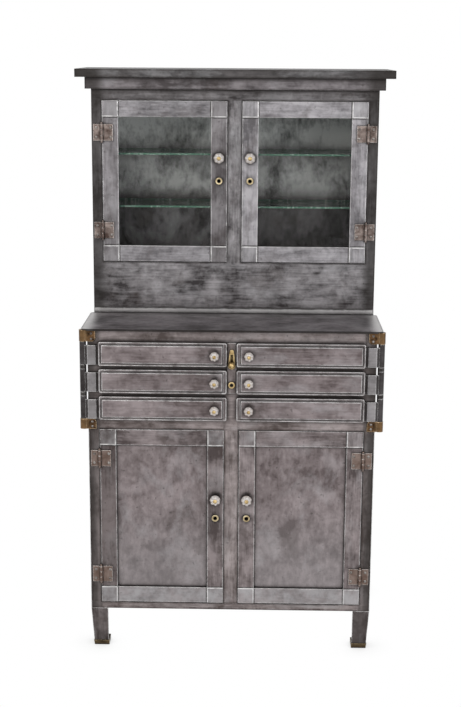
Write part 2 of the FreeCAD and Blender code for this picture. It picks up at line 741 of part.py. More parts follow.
def make_knob(name, x, seat, z, size, grip):
    """Pressed glass knob and the brass bolt through it, with its nut behind the sheet it grips."""
    sections = []
    shares = zip(KNOB_RADIUS_SHARES, KNOB_LENGTH_SHARES)
    for index, (radius_share, length_share) in enumerate(shares):
        ring = doc.addObject("Part::RegularPolygon", f"{name}_ring_{index}")
        ring.Polygon = KNOB_SIDES
        bind(ring, Circumradius=f"{size} / 2 * {radius_share}")
        sections.append(place(ring, x, f"{seat} - knob_length * {length_share}", z, TOWARDS_VIEWER))
    pressing = doc.addObject("Part::Loft", name + "_pressing")
    pressing.Sections = sections
    pressing.Solid = True
    pressing.Ruled = True
    bore = rod(name + "_bore", "knob_bolt / 2 + knob_bolt_clearance", "knob_length + 2 * overrun", x,
               f"{seat} - knob_length - overrun", z, ALONG_Y)
    glass = cut(name + "_glass", pressing, bore)
    tip = f"{seat} - knob_length - knob_bolt_head_height"
    head = rod(name + "_bolt_head", "knob_bolt_head / 2", "knob_bolt_head_height", x, tip, z, ALONG_Y)
    shank = rod(name + "_bolt_shank", "knob_bolt / 2",
                f"knob_bolt_head_height + knob_length + {grip} + knob_nut_height", x, tip, z, ALONG_Y)
    nut = doc.addObject("Part::Prism", name + "_nut")
    nut.Polygon = HEX_SIDES
    bind(nut, Circumradius="knob_nut / 2", Height="knob_nut_height")
    place(nut, x, f"{seat} + {grip}", z, ALONG_Y)
    return group(name, glass, fuse(name + "_bolt", head, shank, nut))


def make_door(name, front, outer, low_opening, high_opening, knob_rise, lock_rise, glazed):
    """Hollow framed door with its infill, knob and lock."""
    inner = "opening_inner + door_gap"
    outer = f"{outer} - door_gap"
    low = f"{low_opening} + door_gap"
    high = f"{high_opening} - door_gap"
    edges = (inner, outer, low, high)
    fitting_x = f"{inner} + door_frame_width / 2"
    middle = f"({low_opening} + {high_opening}) / 2"
    knob_z = f"{middle} + {knob_rise}"
    lock_z = f"{middle} + {lock_rise}"
    infill_back = "infill_setback + panel_sheet"
    if glazed:
        infill_back += " + glass_thickness"
    frame = make_door_frame(name, front, edges, fitting_x, knob_z, lock_z)
    if glazed:
        pane = door_sheet(name + "_glass", front, edges, "door_frame_width - infill_lap", "infill_setback",
                          "glass_thickness")
        node(name + "_glass", pane)
        liner = door_sheet(name + "_liner_blank", front, edges, "panel_sheet + infill_clearance",
                           "infill_setback + glass_thickness", "panel_sheet")
        window = door_sheet(name + "_liner_window", front, edges, "door_frame_width - liner_lap",
                            "infill_setback", "door_depth")
        hole = lock_hole(name + "_liner_hole", front, fitting_x, lock_z)
        frame = group(name + "_frame", frame, cut(name + "_liner", liner, window, hole))
    else:
        panel = door_sheet(name + "_panel_blank", front, edges, "panel_sheet + infill_clearance",
                           "infill_setback", "panel_sheet")
        hole = lock_hole(name + "_panel_hole", front, fitting_x, lock_z)
        node(name + "_panel", cut(name + "_panel", panel, hole))
    node(name + "_frame", frame)
    knob = make_knob(f"{name}_knob", fitting_x, front, knob_z, "door_knob", "panel_sheet")
    node(knob.Name, knob)
    make_lock(name + "_lock", front, fitting_x, lock_z, infill_back)


def inset(edges, margin):
    """Edges of a door drawn in by a margin on all four sides."""
    inner, outer, low, high = edges
    return (f"{inner} + {margin}", f"{outer} - ({margin})", f"{low} + {margin}", f"{high} - ({margin})")


def make_door_frame(name, front, edges, fitting_x, knob_z, lock_z):
    """Folded door frame: square corner plates on the face, hollow back, rebate for the infill."""
    body = new_body(name + "_frame_body")
    opening = rectangle(*inset(edges, "door_frame_width"))
    face = draw(body, name + "_face", "XZ_Plane", f"-({front})", [rectangle(*edges), opening],)
    feature(body, "Pad", name + "_pad", face, "door_depth", True)
    rear = f"-({front} + door_depth)"
    hollow = draw(body, name + "_hollow_outline", "XZ_Plane", rear,
                  [rectangle(*inset(edges, "panel_sheet")),
                   rectangle(*inset(edges, "door_frame_width - panel_sheet"))])
    feature(body, "Pocket", name + "_hollow", hollow, "door_depth - panel_sheet", True)
    rebate = draw(body, name + "_rebate_outline", "XZ_Plane", rear,
                  [rectangle(*inset(edges, "door_frame_width - infill_lap - infill_clearance"))])
    feature(body, "Pocket", name + "_rebate", rebate, "door_depth - infill_setback", True)
    inner, outer, low, high = edges
    squares = []
    for left in (inner, f"{outer} - door_frame_width"):
        for bottom in (low, f"{high} - door_frame_width"):
            squares.append(rectangle(left, f"{left} + door_frame_width",
                                     bottom, f"{bottom} + door_frame_width"))
    plates = draw(body, name + "_square_outlines", "XZ_Plane", f"-({front})", squares)
    feature(body, "Pad", name + "_squares", plates, "corner_square_proud", False)
    holes = draw(body, name + "_hole_outlines", "XZ_Plane", f"-({front})", circles=[
        (fitting_x, knob_z, "knob_bolt / 2 + knob_bolt_clearance"),
        (fitting_x, lock_z, "lock_barrel / 2 + infill_clearance"),
    ])
    feature(body, "Pocket", name + "_holes", holes, "panel_sheet", False)
    return body


def door_sheet(name, front, edges, margin, setback, thickness):
    """Flat sheet inside a door, drawn in from its edges and set back from its face."""
    inner, outer, low, high = inset(edges, margin)
    return block(name, inner, outer, f"{front} + {setback}", f"{front} + {setback} + {thickness}", low, high)


def lock_hole(name, front, x, z):
    """Clear hole for a lock barrel through the whole door."""
    return rod(name, "lock_barrel / 2 + infill_clearance", "door_depth", x, front, z, ALONG_Y)


def make_lock(name, front, x, z, case_front):
    """Brass ring and barrel with a pin for a hollow key, on a flat steel lock case."""
    ring = rod(name + "_ring", "lock_ring / 2", "lock_ring_height", x, f"{front} - lock_ring_height",
               z, ALONG_Y)
    barrel = rod(name + "_barrel", "lock_barrel / 2", f"lock_ring_height + {case_front}", x,
                 f"{front} - lock_ring_height", z, ALONG_Y)
    bore = rod(name + "_bore", "lock_bore / 2", "lock_bore_depth + overrun", x,
               f"{front} - lock_ring_height - overrun", z, ALONG_Y)
    post = rod(name + "_post", "lock_post / 2", "lock_bore_depth", x, f"{front} - lock_ring_height",
               z, ALONG_Y)
    hollow = cut(name + "_hollow", fuse(name + "_body", ring, barrel), bore)
    brass = fuse(name + "_brass", hollow, post)
    case = block(name + "_case", f"{x} - lock_case_width / 2", f"{x} + lock_case_width / 2",
                 f"{front} + {case_front}", f"{front} + door_depth",
                 f"{z} - lock_case_height / 2", f"{z} + lock_case_height / 2")
    node(name, group(name, brass, case))


# Door hinges

def make_hinges(name, front, opening_outer, low, high, hinge_inset):
    """Two surface butt hinges of one right-hand door; returns the frame halves with their pins."""
    pin_x = f"{opening_outer} - door_gap / 2"
    pin_y = f"{front} - hinge_offset"
    fixed = []
    moving = []
    for place_name, middle in (("low", f"{low} + {hinge_inset}"), ("high", f"{high} - {hinge_inset}")):
        label = f"{name}_hinge_{place_name}"
        foot = f"{middle} - hinge_height / 2"
        door_end = f"{pin_x} - door_leaf_width"
        frame_end = f"{pin_x} + frame_leaf_width"
        moving.append(hinge_leaf(f"{label}_door", front, pin_x, pin_y, foot, door_end, pin_x, (1,)))
        fixed.append(hinge_leaf(f"{label}_frame", front, pin_x, pin_y, foot, pin_x, frame_end, (0, 2)))
        pin = rod(f"{label}_pin_shaft", "hinge_pin / 2", "hinge_height + 2 * hinge_tip", pin_x, pin_y,
                  f"{foot} - hinge_tip")
        tips = []
        for index, level in enumerate((f"{foot} - hinge_tip", f"{foot} + hinge_height + hinge_tip")):
            tip = doc.addObject("Part::Sphere", f"{label}_tip_{index}")
            bind(tip, Radius="hinge_tip_bead / 2")
            tips.append(place(tip, pin_x, pin_y, level))
        fixed.append(fuse(f"{label}_pin", pin, *tips))
    node(name + "_hinge_leaves", group(name + "_hinge_leaves", *moving))
    return fixed


def hinge_leaf(name, front, pin_x, pin_y, foot, left, right, knuckles):
    """Leaf with its rolled knuckles, cut away round the knuckles of the other leaf."""
    plate = block(name + "_plate", left, right, f"{front} - hinge_leaf_thickness", front,
                  foot, f"{foot} + hinge_height")
    rolls = [rod(f"{name}_roll_{index}", "hinge_barrel / 2", "knuckle_height - hinge_knuckle_gap",
                 pin_x, pin_y, f"{foot} + {index} * knuckle_height + hinge_knuckle_gap / 2")
             for index in knuckles]
    gaps = [rod(f"{name}_gap_{index}", "hinge_barrel / 2 + hinge_knuckle_gap",
                "knuckle_height + hinge_knuckle_gap", pin_x, pin_y,
                f"{foot} + {index} * knuckle_height - hinge_knuckle_gap / 2")
            for index in range(3) if index not in knuckles]
    bore = rod(name + "_bore", "hinge_pin / 2 + hinge_fit", "hinge_height + 2 * overrun", pin_x, pin_y,
               f"{foot} - overrun")
    return cut(name, fuse(name + "_rolled", plate, *rolls), bore, *gaps)


# Showcase

def make_upper_panels():
    """Sides and back of the showcase."""
    side = block("upper_side", "half_upper - panel_sheet", "half_upper", "upper_face + panel_sheet", "back",
                 "worktop_top", "ceiling_under")
    back = block("upper_back", "panel_sheet - half_upper", "half_upper - panel_sheet", "inside_back", "back",
                 "worktop_top", "ceiling_under")
    node("upper_panels", group("upper_panels", side, mirrored("upper_side_left", side), back))
    floor = block("showcase_floor", "panel_sheet - half_upper", "half_upper - panel_sheet",
                  "upper_face + frame_depth", "inside_back",
                  "showcase_bottom - panel_sheet", "showcase_bottom")
    ceiling = block("showcase_ceiling", "-half_upper", "half_upper", "upper_face", "back",
                    "ceiling_under", "upper_top")
    node("upper_decks", group("upper_decks", floor, ceiling))


def make_upper_face_frame():
    """One pressed front: two door openings with turned-in edges, and a plinth strip at the foot."""
    body = new_body("upper_face_frame")
    openings = [rectangle("opening_inner", "upper_opening_outer", "showcase_bottom", "showcase_top"),
                rectangle("-upper_opening_outer", "-opening_inner", "showcase_bottom", "showcase_top")]
    rims = [rectangle("opening_inner - panel_sheet", "upper_opening_outer + panel_sheet",
                      "showcase_bottom - panel_sheet", "showcase_top + panel_sheet"),
            rectangle("-upper_opening_outer - panel_sheet", "panel_sheet - opening_inner",
                      "showcase_bottom - panel_sheet", "showcase_top + panel_sheet")]
    whole = rectangle("-half_upper", "half_upper", "worktop_top", "ceiling_under")
    face = draw(body, "upper_front_outline", "XZ_Plane", "-upper_face", [whole] + openings)
    feature(body, "Pad", "upper_front_sheet", face, "panel_sheet", True)
    edges = draw(body, "upper_front_edges", "XZ_Plane", "-(upper_face + panel_sheet)", rims + openings)
    feature(body, "Pad", "upper_front_turned_edges", edges, "frame_depth - panel_sheet", True)
    strip = draw(body, "plinth_outline", "XZ_Plane", "-upper_face",
                 [rectangle("-half_upper", "half_upper", "worktop_top", "worktop_top + plinth_height")])
    feature(body, "Pad", "plinth_strip", strip, "plinth_proud", False)
    node("upper_face_frame", body)


def make_strike_bars():
    """Flat bars behind the centre stiles, which stop the doors."""
    bars = []
    half = "opening_inner + strike_lap"
    for name, front, low, high in (("strike_low", "face", "cupboard_bottom", "cupboard_top"),
                                   ("strike_high", "upper_face", "showcase_bottom", "showcase_top")):
        bars.append(block(name, f"-({half})", half, f"{front} + frame_depth",
                          f"{front} + frame_depth + strike_thickness", low, high))
    node("strike_bars", group("strike_bars", *bars))


def folded_ring(name, overhang, low, high, flange):
    """Cornice member: a folded skin open at the middle, with flanges turned in top and bottom."""
    body = new_body(name)
    outside = rectangle(f"-(half_upper + {overhang})", f"half_upper + {overhang}",
                        f"upper_face - {overhang}", "back")
    within = rectangle(f"panel_sheet - (half_upper + {overhang})", f"half_upper + {overhang} - panel_sheet",
                       f"upper_face - {overhang} + panel_sheet", "inside_back")
    middle = rectangle(f"{flange} - (half_upper + {overhang})", f"half_upper + {overhang} - {flange}",
                       f"upper_face - {overhang} + {flange}", f"back - {flange}")
    foot = draw(body, name + "_foot", "XY_Plane", low, [outside, middle])
    feature(body, "Pad", name + "_flange", foot, "panel_sheet", False)
    walls = draw(body, name + "_walls", "XY_Plane", f"{low} + panel_sheet", [outside, within])
    feature(body, "Pad", name + "_skin", walls, f"{high} - ({low}) - 2 * panel_sheet", False)
    return body, outside, middle


def make_cornice():
    """Lower tier of the crown."""
    body, outside, middle = folded_ring("cornice", "cornice_overhang", "upper_top", "cornice_top",
                                        "crown_flange")
    lid = draw(body, "cornice_lid", "XY_Plane", "cornice_top - panel_sheet", [outside, middle])
    feature(body, "Pad", "cornice_top_flange", lid, "panel_sheet", False)
    node("cornice", body)


def make_crown():
    """Upper tier: a closed pan."""
    body, outside, middle = folded_ring("crown", "crown_overhang", "cornice_top", "crown_top",
                                        "crown_flange + crown_overhang - cornice_overhang")
    lid = draw(body, "crown_lid", "XY_Plane", "crown_top - panel_sheet", [outside])
    feature(body, "Pad", "crown_sheet", lid, "panel_sheet", False)
    node("crown", body)


def make_shelves():
    """Two glass shelves, and the clips under every shelf."""
    panes = []
    clips = []
    front = "upper_face + frame_depth + shelf_front_gap"
    half = "half_upper - panel_sheet - shelf_end_gap"
    for index in range(1, SHELF_COUNT + 1):
        top = f"showcase_bottom + shelf_rise + {index - 1} * shelf_spacing"
        panes.append(block(f"glass_shelf_{index}", f"-({half})", half, front, "inside_back - shelf_back_gap",
                           f"{top} - shelf_glass", top))
        clips += clip_set(f"glass_clip_{index}", "half_upper - panel_sheet", front, f"{top} - shelf_glass")
    steel_front = "face + frame_depth + cupboard_shelf_front_gap"
    clips += clip_set("steel_clip", "half_base - panel_sheet", steel_front,
                      "cupboard_bottom + cupboard_shelf_rise - panel_sheet")
    node("glass_shelves", group("glass_shelves", *panes))
    node("shelf_clips", group("shelf_clips", *clips))


def clip_set(name, wall, front, under):
    """Four angle clips on the two side walls, below one shelf."""
    clips = []
    places = (f"{front} + clip_inset", "inside_back - shelf_back_gap - clip_inset - clip_width")
    for index, start in enumerate(places):
        body = new_body(f"{name}_{index}")
        profile = draw(body, f"{name}_{index}_profile", "XZ_Plane", f"-({start})", [[
            (f"{wall} - clip_reach", f"{under} - clip_sheet"),
            (f"{wall} - clip_sheet", f"{under} - clip_sheet"),
            (f"{wall} - clip_sheet", f"{under} - clip_height"),
            (wall, f"{under} - clip_height"),
            (wall, under), (f"{wall} - clip_reach", under),
        ]])
        feature(body, "Pad", f"{name}_{index}_pad", profile, "clip_width", True)
        clips += [body, mirrored(f"{name}_{index}_left", body)]
    return clips


def mirror_right_nodes():
    """Every right-hand door and tray piece again on the left."""
    for name, item in list(nodes):
        if "right" in name:
            other = name.replace("right", "left")
            node(other, mirrored(other, item))


def write_nodes():
    """Check the whole document, then write one file per node."""
    doc.recompute()
    failed = [item.Name for item in doc.Objects if "Invalid" in item.State or "Error" in item.State]
    for name, item in nodes:
        shape = item.Shape
        if shape.isNull() or not shape.isValid() or not shape.Solids:
            failed.append(name)
    if failed:
        raise RuntimeError("pieces that failed: " + ", ".join(failed))
    os.makedirs("parts", exist_ok=True)
    for name, item in nodes:
        item.Shape.exportStep(f"parts/{name}.step")


make_base_panels()
make_base_decks()
make_base_face_frame()
make_cupboard_shelf()
make_worktop()
make_legs()
for tray_row in TRAY_ROWS:
    make_tray(tray_row)
make_pivots()
make_brackets()
make_centre_lock()
make_upper_panels()
make_upper_face_frame()
make_strike_bars()
make_cornice()
make_crown()
make_shelves()
make_door("upper_right_door", "upper_face", "upper_opening_outer", "showcase_bottom", "showcase_top",
          "showcase_knob_above_middle", "showcase_lock_above_middle", True)
make_door("lower_right_door", "face", "base_opening_outer", "cupboard_bottom", "cupboard_top",
          "cupboard_knob_above_middle", "cupboard_lock_above_middle", False)
frame_halves = make_hinges("upper_right_door", "upper_face", "upper_opening_outer",
                           "showcase_bottom", "showcase_top", "showcase_hinge_inset")
frame_halves += make_hinges("lower_right_door", "face", "base_opening_outer",
                            "cupboard_bottom", "cupboard_top", "cupboard_hinge_inset")
frame_halves += [mirrored(half.Name + "_left", half) for half in list(frame_halves)]
node("hinge_frame_leaves", group("hinge_frame_leaves", *frame_halves))
mirror_right_nodes()
write_nodes()
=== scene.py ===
import math
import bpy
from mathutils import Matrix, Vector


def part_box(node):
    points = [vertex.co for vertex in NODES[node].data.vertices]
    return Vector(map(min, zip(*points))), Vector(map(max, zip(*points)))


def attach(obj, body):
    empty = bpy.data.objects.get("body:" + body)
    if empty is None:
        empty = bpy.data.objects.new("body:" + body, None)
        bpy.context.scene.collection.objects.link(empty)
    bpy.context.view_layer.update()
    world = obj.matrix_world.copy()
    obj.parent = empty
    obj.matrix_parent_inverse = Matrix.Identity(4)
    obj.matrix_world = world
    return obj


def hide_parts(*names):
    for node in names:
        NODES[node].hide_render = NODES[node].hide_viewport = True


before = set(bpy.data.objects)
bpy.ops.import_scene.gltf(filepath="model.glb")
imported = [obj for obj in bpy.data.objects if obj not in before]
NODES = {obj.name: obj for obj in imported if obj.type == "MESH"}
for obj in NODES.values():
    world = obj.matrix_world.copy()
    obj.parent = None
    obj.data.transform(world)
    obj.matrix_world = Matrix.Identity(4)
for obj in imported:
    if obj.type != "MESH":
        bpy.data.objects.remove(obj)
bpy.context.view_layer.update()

from types import SimpleNamespace

import bpy
from mathutils import Matrix, Vector

SIDES = ("left", "right")
LEVELS = ("upper", "lower")
ROWS = ("top", "middle", "bottom")


# Camera and lamps

CAMERA_PLACE = (0.0663, -3.829, 1.659)
CAMERA_PITCH = math.radians(12.555)
CAMERA_YAW = math.radians(-1.106)
CAMERA_ROLL = math.radians(-0.37)
CAMERA_LENS = 70.0
CAMERA_SENSOR = 36.0


def make_camera():
    """Camera a little above the crown, looking down at the middle of the cabinet."""
    flat = math.cos(CAMERA_PITCH)
    forward = Vector((flat * math.sin(CAMERA_YAW), flat * math.cos(CAMERA_YAW), -math.sin(CAMERA_PITCH)))
    level = Vector((math.cos(CAMERA_YAW), -math.sin(CAMERA_YAW), 0.0))
    upright = level.cross(forward)
    right = math.cos(CAMERA_ROLL) * level - math.sin(CAMERA_ROLL) * upright
    up = math.sin(CAMERA_ROLL) * level + math.cos(CAMERA_ROLL) * upright
    data = bpy.data.cameras.new("camera")
    data.lens = CAMERA_LENS
    data.sensor_width = CAMERA_SENSOR
    camera = bpy.data.objects.new("camera", data)
    turn = Matrix((right, up, -forward)).transposed().to_4x4()
    camera.matrix_world = Matrix.Translation(CAMERA_PLACE) @ turn
    bpy.context.scene.collection.objects.link(camera)
    bpy.context.scene.camera = camera


def make_light(name, place, target, size, power, tint):
    """Soft square light aimed at a point."""
    data = bpy.data.lights.new(name, "AREA")
    data.size = size
    data.energy = power
    data.color = tint
    light = bpy.data.objects.new(name, data)
    light.location = place
    light.rotation_euler = (Vector(target) - Vector(place)).to_track_quat("-Z", "Y").to_euler()
    bpy.context.scene.collection.objects.link(light)


# Node trees

SEED_WAY = Vector((1.0, 1.7, 0.6))
SAMPLES = 6


class Nodes:
    """Node tree of a material or of the world, written as nested calls."""

    def __init__(self, owner):
        self.owner = owner
        owner.use_nodes = True
        self.tree = owner.node_tree
        self.tree.nodes.clear()

    def add(self, kind, inputs, **settings):
        """Node of a kind, with its settings and with values or links on its sockets."""
        node = self.tree.nodes.new("ShaderNode" + kind)
        for key, value in settings.items():
            setattr(node, key, value)
        for key, value in inputs.items():
            if isinstance(value, bpy.types.NodeSocket):
                self.tree.links.new(value, node.inputs[key])
            else:
                node.inputs[key].default_value = value
        return node

    def place(self, seed=0.0, stretch=(1.0, 1.0, 1.0)):
        """Place on the object, moved by a seed and stretched along a grain."""
        place = self.add("TexCoord", {}).outputs["Object"]
        inputs = {"Vector": place, "Location": seed * SEED_WAY, "Scale": stretch}
        return self.add("Mapping", inputs).outputs[0]

    def noise(self, place, scale, detail=4.0, rough=0.6, warp=0.0):
        inputs = {"Vector": place, "Scale": scale, "Detail": detail, "Roughness": rough, "Distortion": warp}
        return self.add("TexNoise", inputs).outputs[0]

    def math(self, operation, first, second):
        return self.add("Math", {0: first, 1: second}, operation=operation).outputs[0]

    def ramp(self, value, low, high, bottom=0.0, top=1.0):
        """Smooth step from one value to another."""
        inputs = {"Value": value, "From Min": low, "From Max": high, "To Min": bottom, "To Max": top}
        return self.add("MapRange", inputs, interpolation_type="SMOOTHSTEP").outputs[0]

    def slope(self, value, low, high, bottom=0.0, top=1.0):
        """Straight climb from one value to another."""
        inputs = {"Value": value, "From Min": low, "From Max": high, "To Min": bottom, "To Max": top}
        return self.add("MapRange", inputs).outputs[0]

    def band(self, value, low, high, soft=0.0006):
        """One between two values, zero outside them."""
        return self.math("MULTIPLY", self.ramp(value, low - soft, low + soft),
                         self.ramp(value, high - soft, high + soft, 1.0, 0.0))

    def mix(self, share, first, second):
        """Colour between two colours."""
        return self.add("Mix", {0: share, 6: first, 7: second}, data_type="RGBA").outputs[2]

    def blend(self, share, first, second):
        """Value between two values."""
        return self.add("Mix", {0: share, 2: first, 3: second}, data_type="FLOAT").outputs[0]

    def sum(self, *terms):
        """Weighted sum of values."""
        total = 0.0
        for weight, value in terms:
            total = self.math("ADD", total, self.math("MULTIPLY", value, weight))
        return total

    def axis(self, name):
        """Place on the object along one axis."""
        return self.add("SeparateXYZ", {0: self.add("TexCoord", {}).outputs["Object"]}).outputs[name]

    def aside(self):
        """Distance from the cabinet's middle plane."""
        return self.math("ABSOLUTE", self.axis("X"), 0.0)

    def facing(self, name):
        """How far a face looks along one axis."""
        normal = self.add("NewGeometry", {}).outputs["True Normal"]
        return self.add("SeparateXYZ", {0: normal}).outputs[name]

    def edges(self, radius):
        """Rounded normal, and how much it leans off the flat face near an edge."""
        rounded = self.add("Bevel", {"Radius": radius}, samples=SAMPLES).outputs[0]
        flat = self.add("NewGeometry", {}).outputs["Normal"]
        dot = self.add("VectorMath", {0: rounded, 1: flat}, operation="DOT_PRODUCT").outputs["Value"]
        return rounded, self.math("SUBTRACT", 1.0, dot)

    def crevice(self, distance, low, high):
        """One in tight corners, zero on open faces."""
        near = self.add("AmbientOcclusion", {"Distance": distance}, samples=SAMPLES).outputs["AO"]
        return self.ramp(near, low, high, 1.0, 0.0)

    def bump(self, height, strength, distance, normal):
        inputs = {"Height": height, "Strength": strength, "Distance": distance, "Normal": normal}
        return self.add("Bump", inputs).outputs[0]

    def watched(self):
        """One for rays that come from the camera, off a shiny face or through glass."""
        rays = self.add("LightPath", {}).outputs
        shiny = self.math("MAXIMUM", rays["Is Glossy Ray"], rays["Is Transmission Ray"])
        return self.math("MAXIMUM", rays["Is Camera Ray"], shiny)


class Finish(Nodes):
    """Node tree of a new material."""

    def __init__(self, name):
        super().__init__(bpy.data.materials.new(name))

    def done(self, shader):
        self.add("OutputMaterial", {"Surface": shader})
        return self.owner


# Colours, as dark and light pairs for the steels

def colour(red, green, blue):
    return (red, green, blue, 1.0)


BODY = (colour(0.067, 0.059, 0.061), colour(0.282, 0.259, 0.269))
STARK = (colour(0.044, 0.039, 0.040), colour(0.339, 0.323, 0.331))
CALM = (colour(0.089, 0.080, 0.080), colour(0.244, 0.230, 0.233))
FRAME = (colour(0.089, 0.070, 0.066), colour(0.353, 0.306, 0.301))
PALE = (colour(0.117, 0.110, 0.116), colour(0.424, 0.405, 0.422))
WARM = (colour(0.090, 0.071, 0.070), colour(0.339, 0.290, 0.291))
WARM_CALM = (colour(0.117, 0.093, 0.093), colour(0.310, 0.265, 0.267))
DIM = (colour(0.027, 0.025, 0.025), colour(0.106, 0.098, 0.098))
OILED = (colour(0.019, 0.017, 0.016), colour(0.078, 0.070, 0.065))
# Tones of the painted light on the showcase's inner faces
INSIDE_LIGHT = (colour(0.12, 0.12, 0.118), colour(1.0, 1.0, 0.99))
# Pale colour of rubbed edges, which also serves as a painted highlight along them
WORN_AND_HIGHLIT = colour(0.82, 0.805, 0.80)
# Painted shade along edges, as under the ledge's front edge and round the openings
EDGE_SHADE = colour(0.017, 0.013, 0.011)
PALER_TONE = colour(0.424, 0.416, 0.424)
POLISHED = colour(0.467, 0.467, 0.480)
# Painted highlight on the hem along the showcase's foot
FOOT_HIGHLIGHT = colour(0.90, 0.885, 0.88)
BRIGHT_ENDS = colour(0.671, 0.657, 0.649)
ARM_GREY = colour(0.325, 0.315, 0.315)
# Dark brown for soil and joints, also painted shade below the cornice, on the ledge's front edge, legs,
# straps and round knobs
SOIL_AND_SHADE = colour(0.018, 0.015, 0.014)
STAINED = colour(0.043, 0.030, 0.026)
# Painted shade at the case's outer ends
SHADED_ENDS = colour(0.021, 0.018, 0.016)
SMUDGED = colour(0.049, 0.034, 0.028)
PITTED = colour(0.032, 0.027, 0.025)
SHADED = colour(0.036, 0.028, 0.024)
# Dirt and painted shade in the corners of the steel
SOOT_AND_SHADE = colour(0.014, 0.012, 0.011)
# Tarnish and painted shade in the corners of the fittings
TARNISH_AND_SHADE = colour(0.016, 0.012, 0.009)
# Black painted as the shade inside the lock bores
BORE_SHADE = colour(0.005, 0.005, 0.004)
BRACKET_GOLD = colour(0.21, 0.130, 0.062)
HINGE_BROWN = colour(0.169, 0.113, 0.090)
WHITE = colour(1.0, 1.0, 1.0)

# Dark, light and rubbed colours of each plating; the rubbed colour also paints highlights on the edges
AGED_BRASS = (colour(0.254, 0.166, 0.068), colour(0.741, 0.555, 0.273), colour(0.974, 0.839, 0.566))
LOCK_BRASS = (colour(0.273, 0.199, 0.102), colour(0.780, 0.649, 0.400), colour(0.974, 0.896, 0.701))
DARK_BRASS = (colour(0.014, 0.008, 0.005), colour(0.165, 0.092, 0.043), colour(0.70, 0.53, 0.35))
SHOE_BRASS = (colour(0.035, 0.024, 0.013), colour(0.120, 0.083, 0.045), colour(0.467, 0.367, 0.226))
WORN_NICKEL = (colour(0.155, 0.131, 0.117), colour(0.367, 0.339, 0.318), colour(0.636, 0.622, 0.608))
HINGE_NICKEL = (colour(0.071, 0.047, 0.039), colour(0.330, 0.270, 0.244), colour(0.706, 0.663, 0.636))
SLOT_SHADOW = (colour(0.014, 0.013, 0.012), colour(0.032, 0.028, 0.026), colour(0.057, 0.049, 0.043))

# Face and edge tints of the sheet glass
DOOR_GLASS = (colour(0.980, 0.985, 0.980), colour(0.10, 0.26, 0.20))
SHELF_GLASS = (colour(0.92, 0.95, 0.93), colour(0.070, 0.200, 0.130))

# Other glass, the floor and the surroundings
CUT_SPARKLE = colour(0.50, 0.66, 0.57)
KNOB_TINTS = (colour(1.0, 0.95, 0.91), colour(1.0, 0.89, 0.82))
FLUTE_SHADE = colour(0.42, 0.30, 0.21)
PAPER = (colour(0.80, 0.80, 0.80), colour(0.84, 0.84, 0.84))
STUDIO = (colour(0.16, 0.16, 0.17), colour(0.75, 0.76, 0.78))


def toned(tones, share):
    """Darker or lighter pair of tones."""
    return tuple(colour(*(share * part for part in tone[:3])) for tone in tones)


# Metals

# How often brush lines repeat in a metre along each axis
ACROSS = (14.0, 170.0, 170.0)
UPRIGHT = (170.0, 170.0, 14.0)
SHEET = (95.0, 95.0, 38.0)

# Stretch of the soft clouds, times the cube root of the brush lines' own
DRIFT_STRETCH = 4.5

# Scale, detail, roughness and warp of each noise
LINES = (1.0, 3.0, 0.6, 0.2)
DRIFTS = (1.0, 6.0, 0.62, 0.3)
PATCHES = (0.6, 6.0, 0.66, 0.3)
CLOUDS = (7.5, 6.0, 0.62, 0.25)
MOTTLE = (45.0, 5.0, 0.62, 0.5)
SMUDGES = (13.0, 6.0, 0.64, 0.4)
PITS = (95.0, 3.0, 0.6, 0.0)
SPECKS = (420.0, 3.0, 0.6, 0.0)

# Detail, roughness and warp of tarnish, whose scale each plating sets
TARNISH_CLOUDS = (5.0, 0.60, 0.6)

# Steps between the seeds of one finish's noises
DRIFT_SEED_STEP = 2.2
PATCH_SEED_STEP = 5.3
CROSSING_SEED_STEP = 1.9
SMUDGE_SEED_STEP = 7.7

# Values between which each mark comes up, and how far it then covers the metal
TONE_SPAN = (0.426, 0.580)
SMUDGE_SPAN = (0.53, 0.70)
RUBBED_SPAN = (0.51, 0.72)
PIT_SPAN = (0.62, 0.74)
STREAK_SPAN = (0.405, 0.545)
TARNISH_SPAN = (0.38, 0.64)
CORNER_SPAN = (0.45, 0.97)
HALO_SPAN = (0.40, 1.0)
LEAN_SPAN = (0.01, 0.14)
DIRT_AND_SHADE_SPAN, DIRT_AND_SHADE_SHARES = (0.2, 0.7), (0.8, 1.0)
BROWN_SPAN, BROWN_SHARES = (0.35, 0.65), (0.45, 0.80)
WEAR_AND_HIGHLIGHT_SPAN, WEAR_AND_HIGHLIGHT_SHARES = (0.34, 0.60), (0.35, 1.0)
RUB_AND_HIGHLIGHT_SPAN, RUB_AND_HIGHLIGHT_SHARES = (0.3, 0.6), (0.5, 1.0)
KEEN_START_SHARE = 0.08
SMUDGE_BROWN_SHARE = 0.75
POLISH_SHARE = 0.5
SMUDGE_COVER = 0.55
RUBBED_COVER = 0.62
PIT_COVER = 0.55
TARNISH_AND_SHADE_COVER = 0.94

# Reach of corners and edges in metres, depth of the relief, and the shine
CORNER_REACH = 0.014
HALO_REACH = 0.05
HIGHLIT_EDGE_REACH = 0.0034
EDGE_SHADE_REACH = 0.0064
STEEL_RELIEF = 0.0006
PLATED_RELIEF = 0.0004
STEEL_METALLIC = 0.78
PLATED_METALLIC = 0.92
PLATED_ROUGH = 0.22
STEEL_ROUGH_SHIFT = -0.16
STEEL_BUMP = 0.16
PLATED_BUMP = 0.14


def strokes(tree, seed, grain):
    """Fine brush lines, long soft clouds and rubbed patches that follow one grain."""
    stretch = tuple(DRIFT_STRETCH * share ** (1.0 / 3.0) for share in grain)
    lines = tree.noise(tree.place(seed, grain), *LINES)
    drift = tree.noise(tree.place(seed + DRIFT_SEED_STEP, stretch), *DRIFTS)
    patch = tree.noise(tree.place(seed + PATCH_SEED_STEP, stretch), *PATCHES)
    return lines, drift, patch


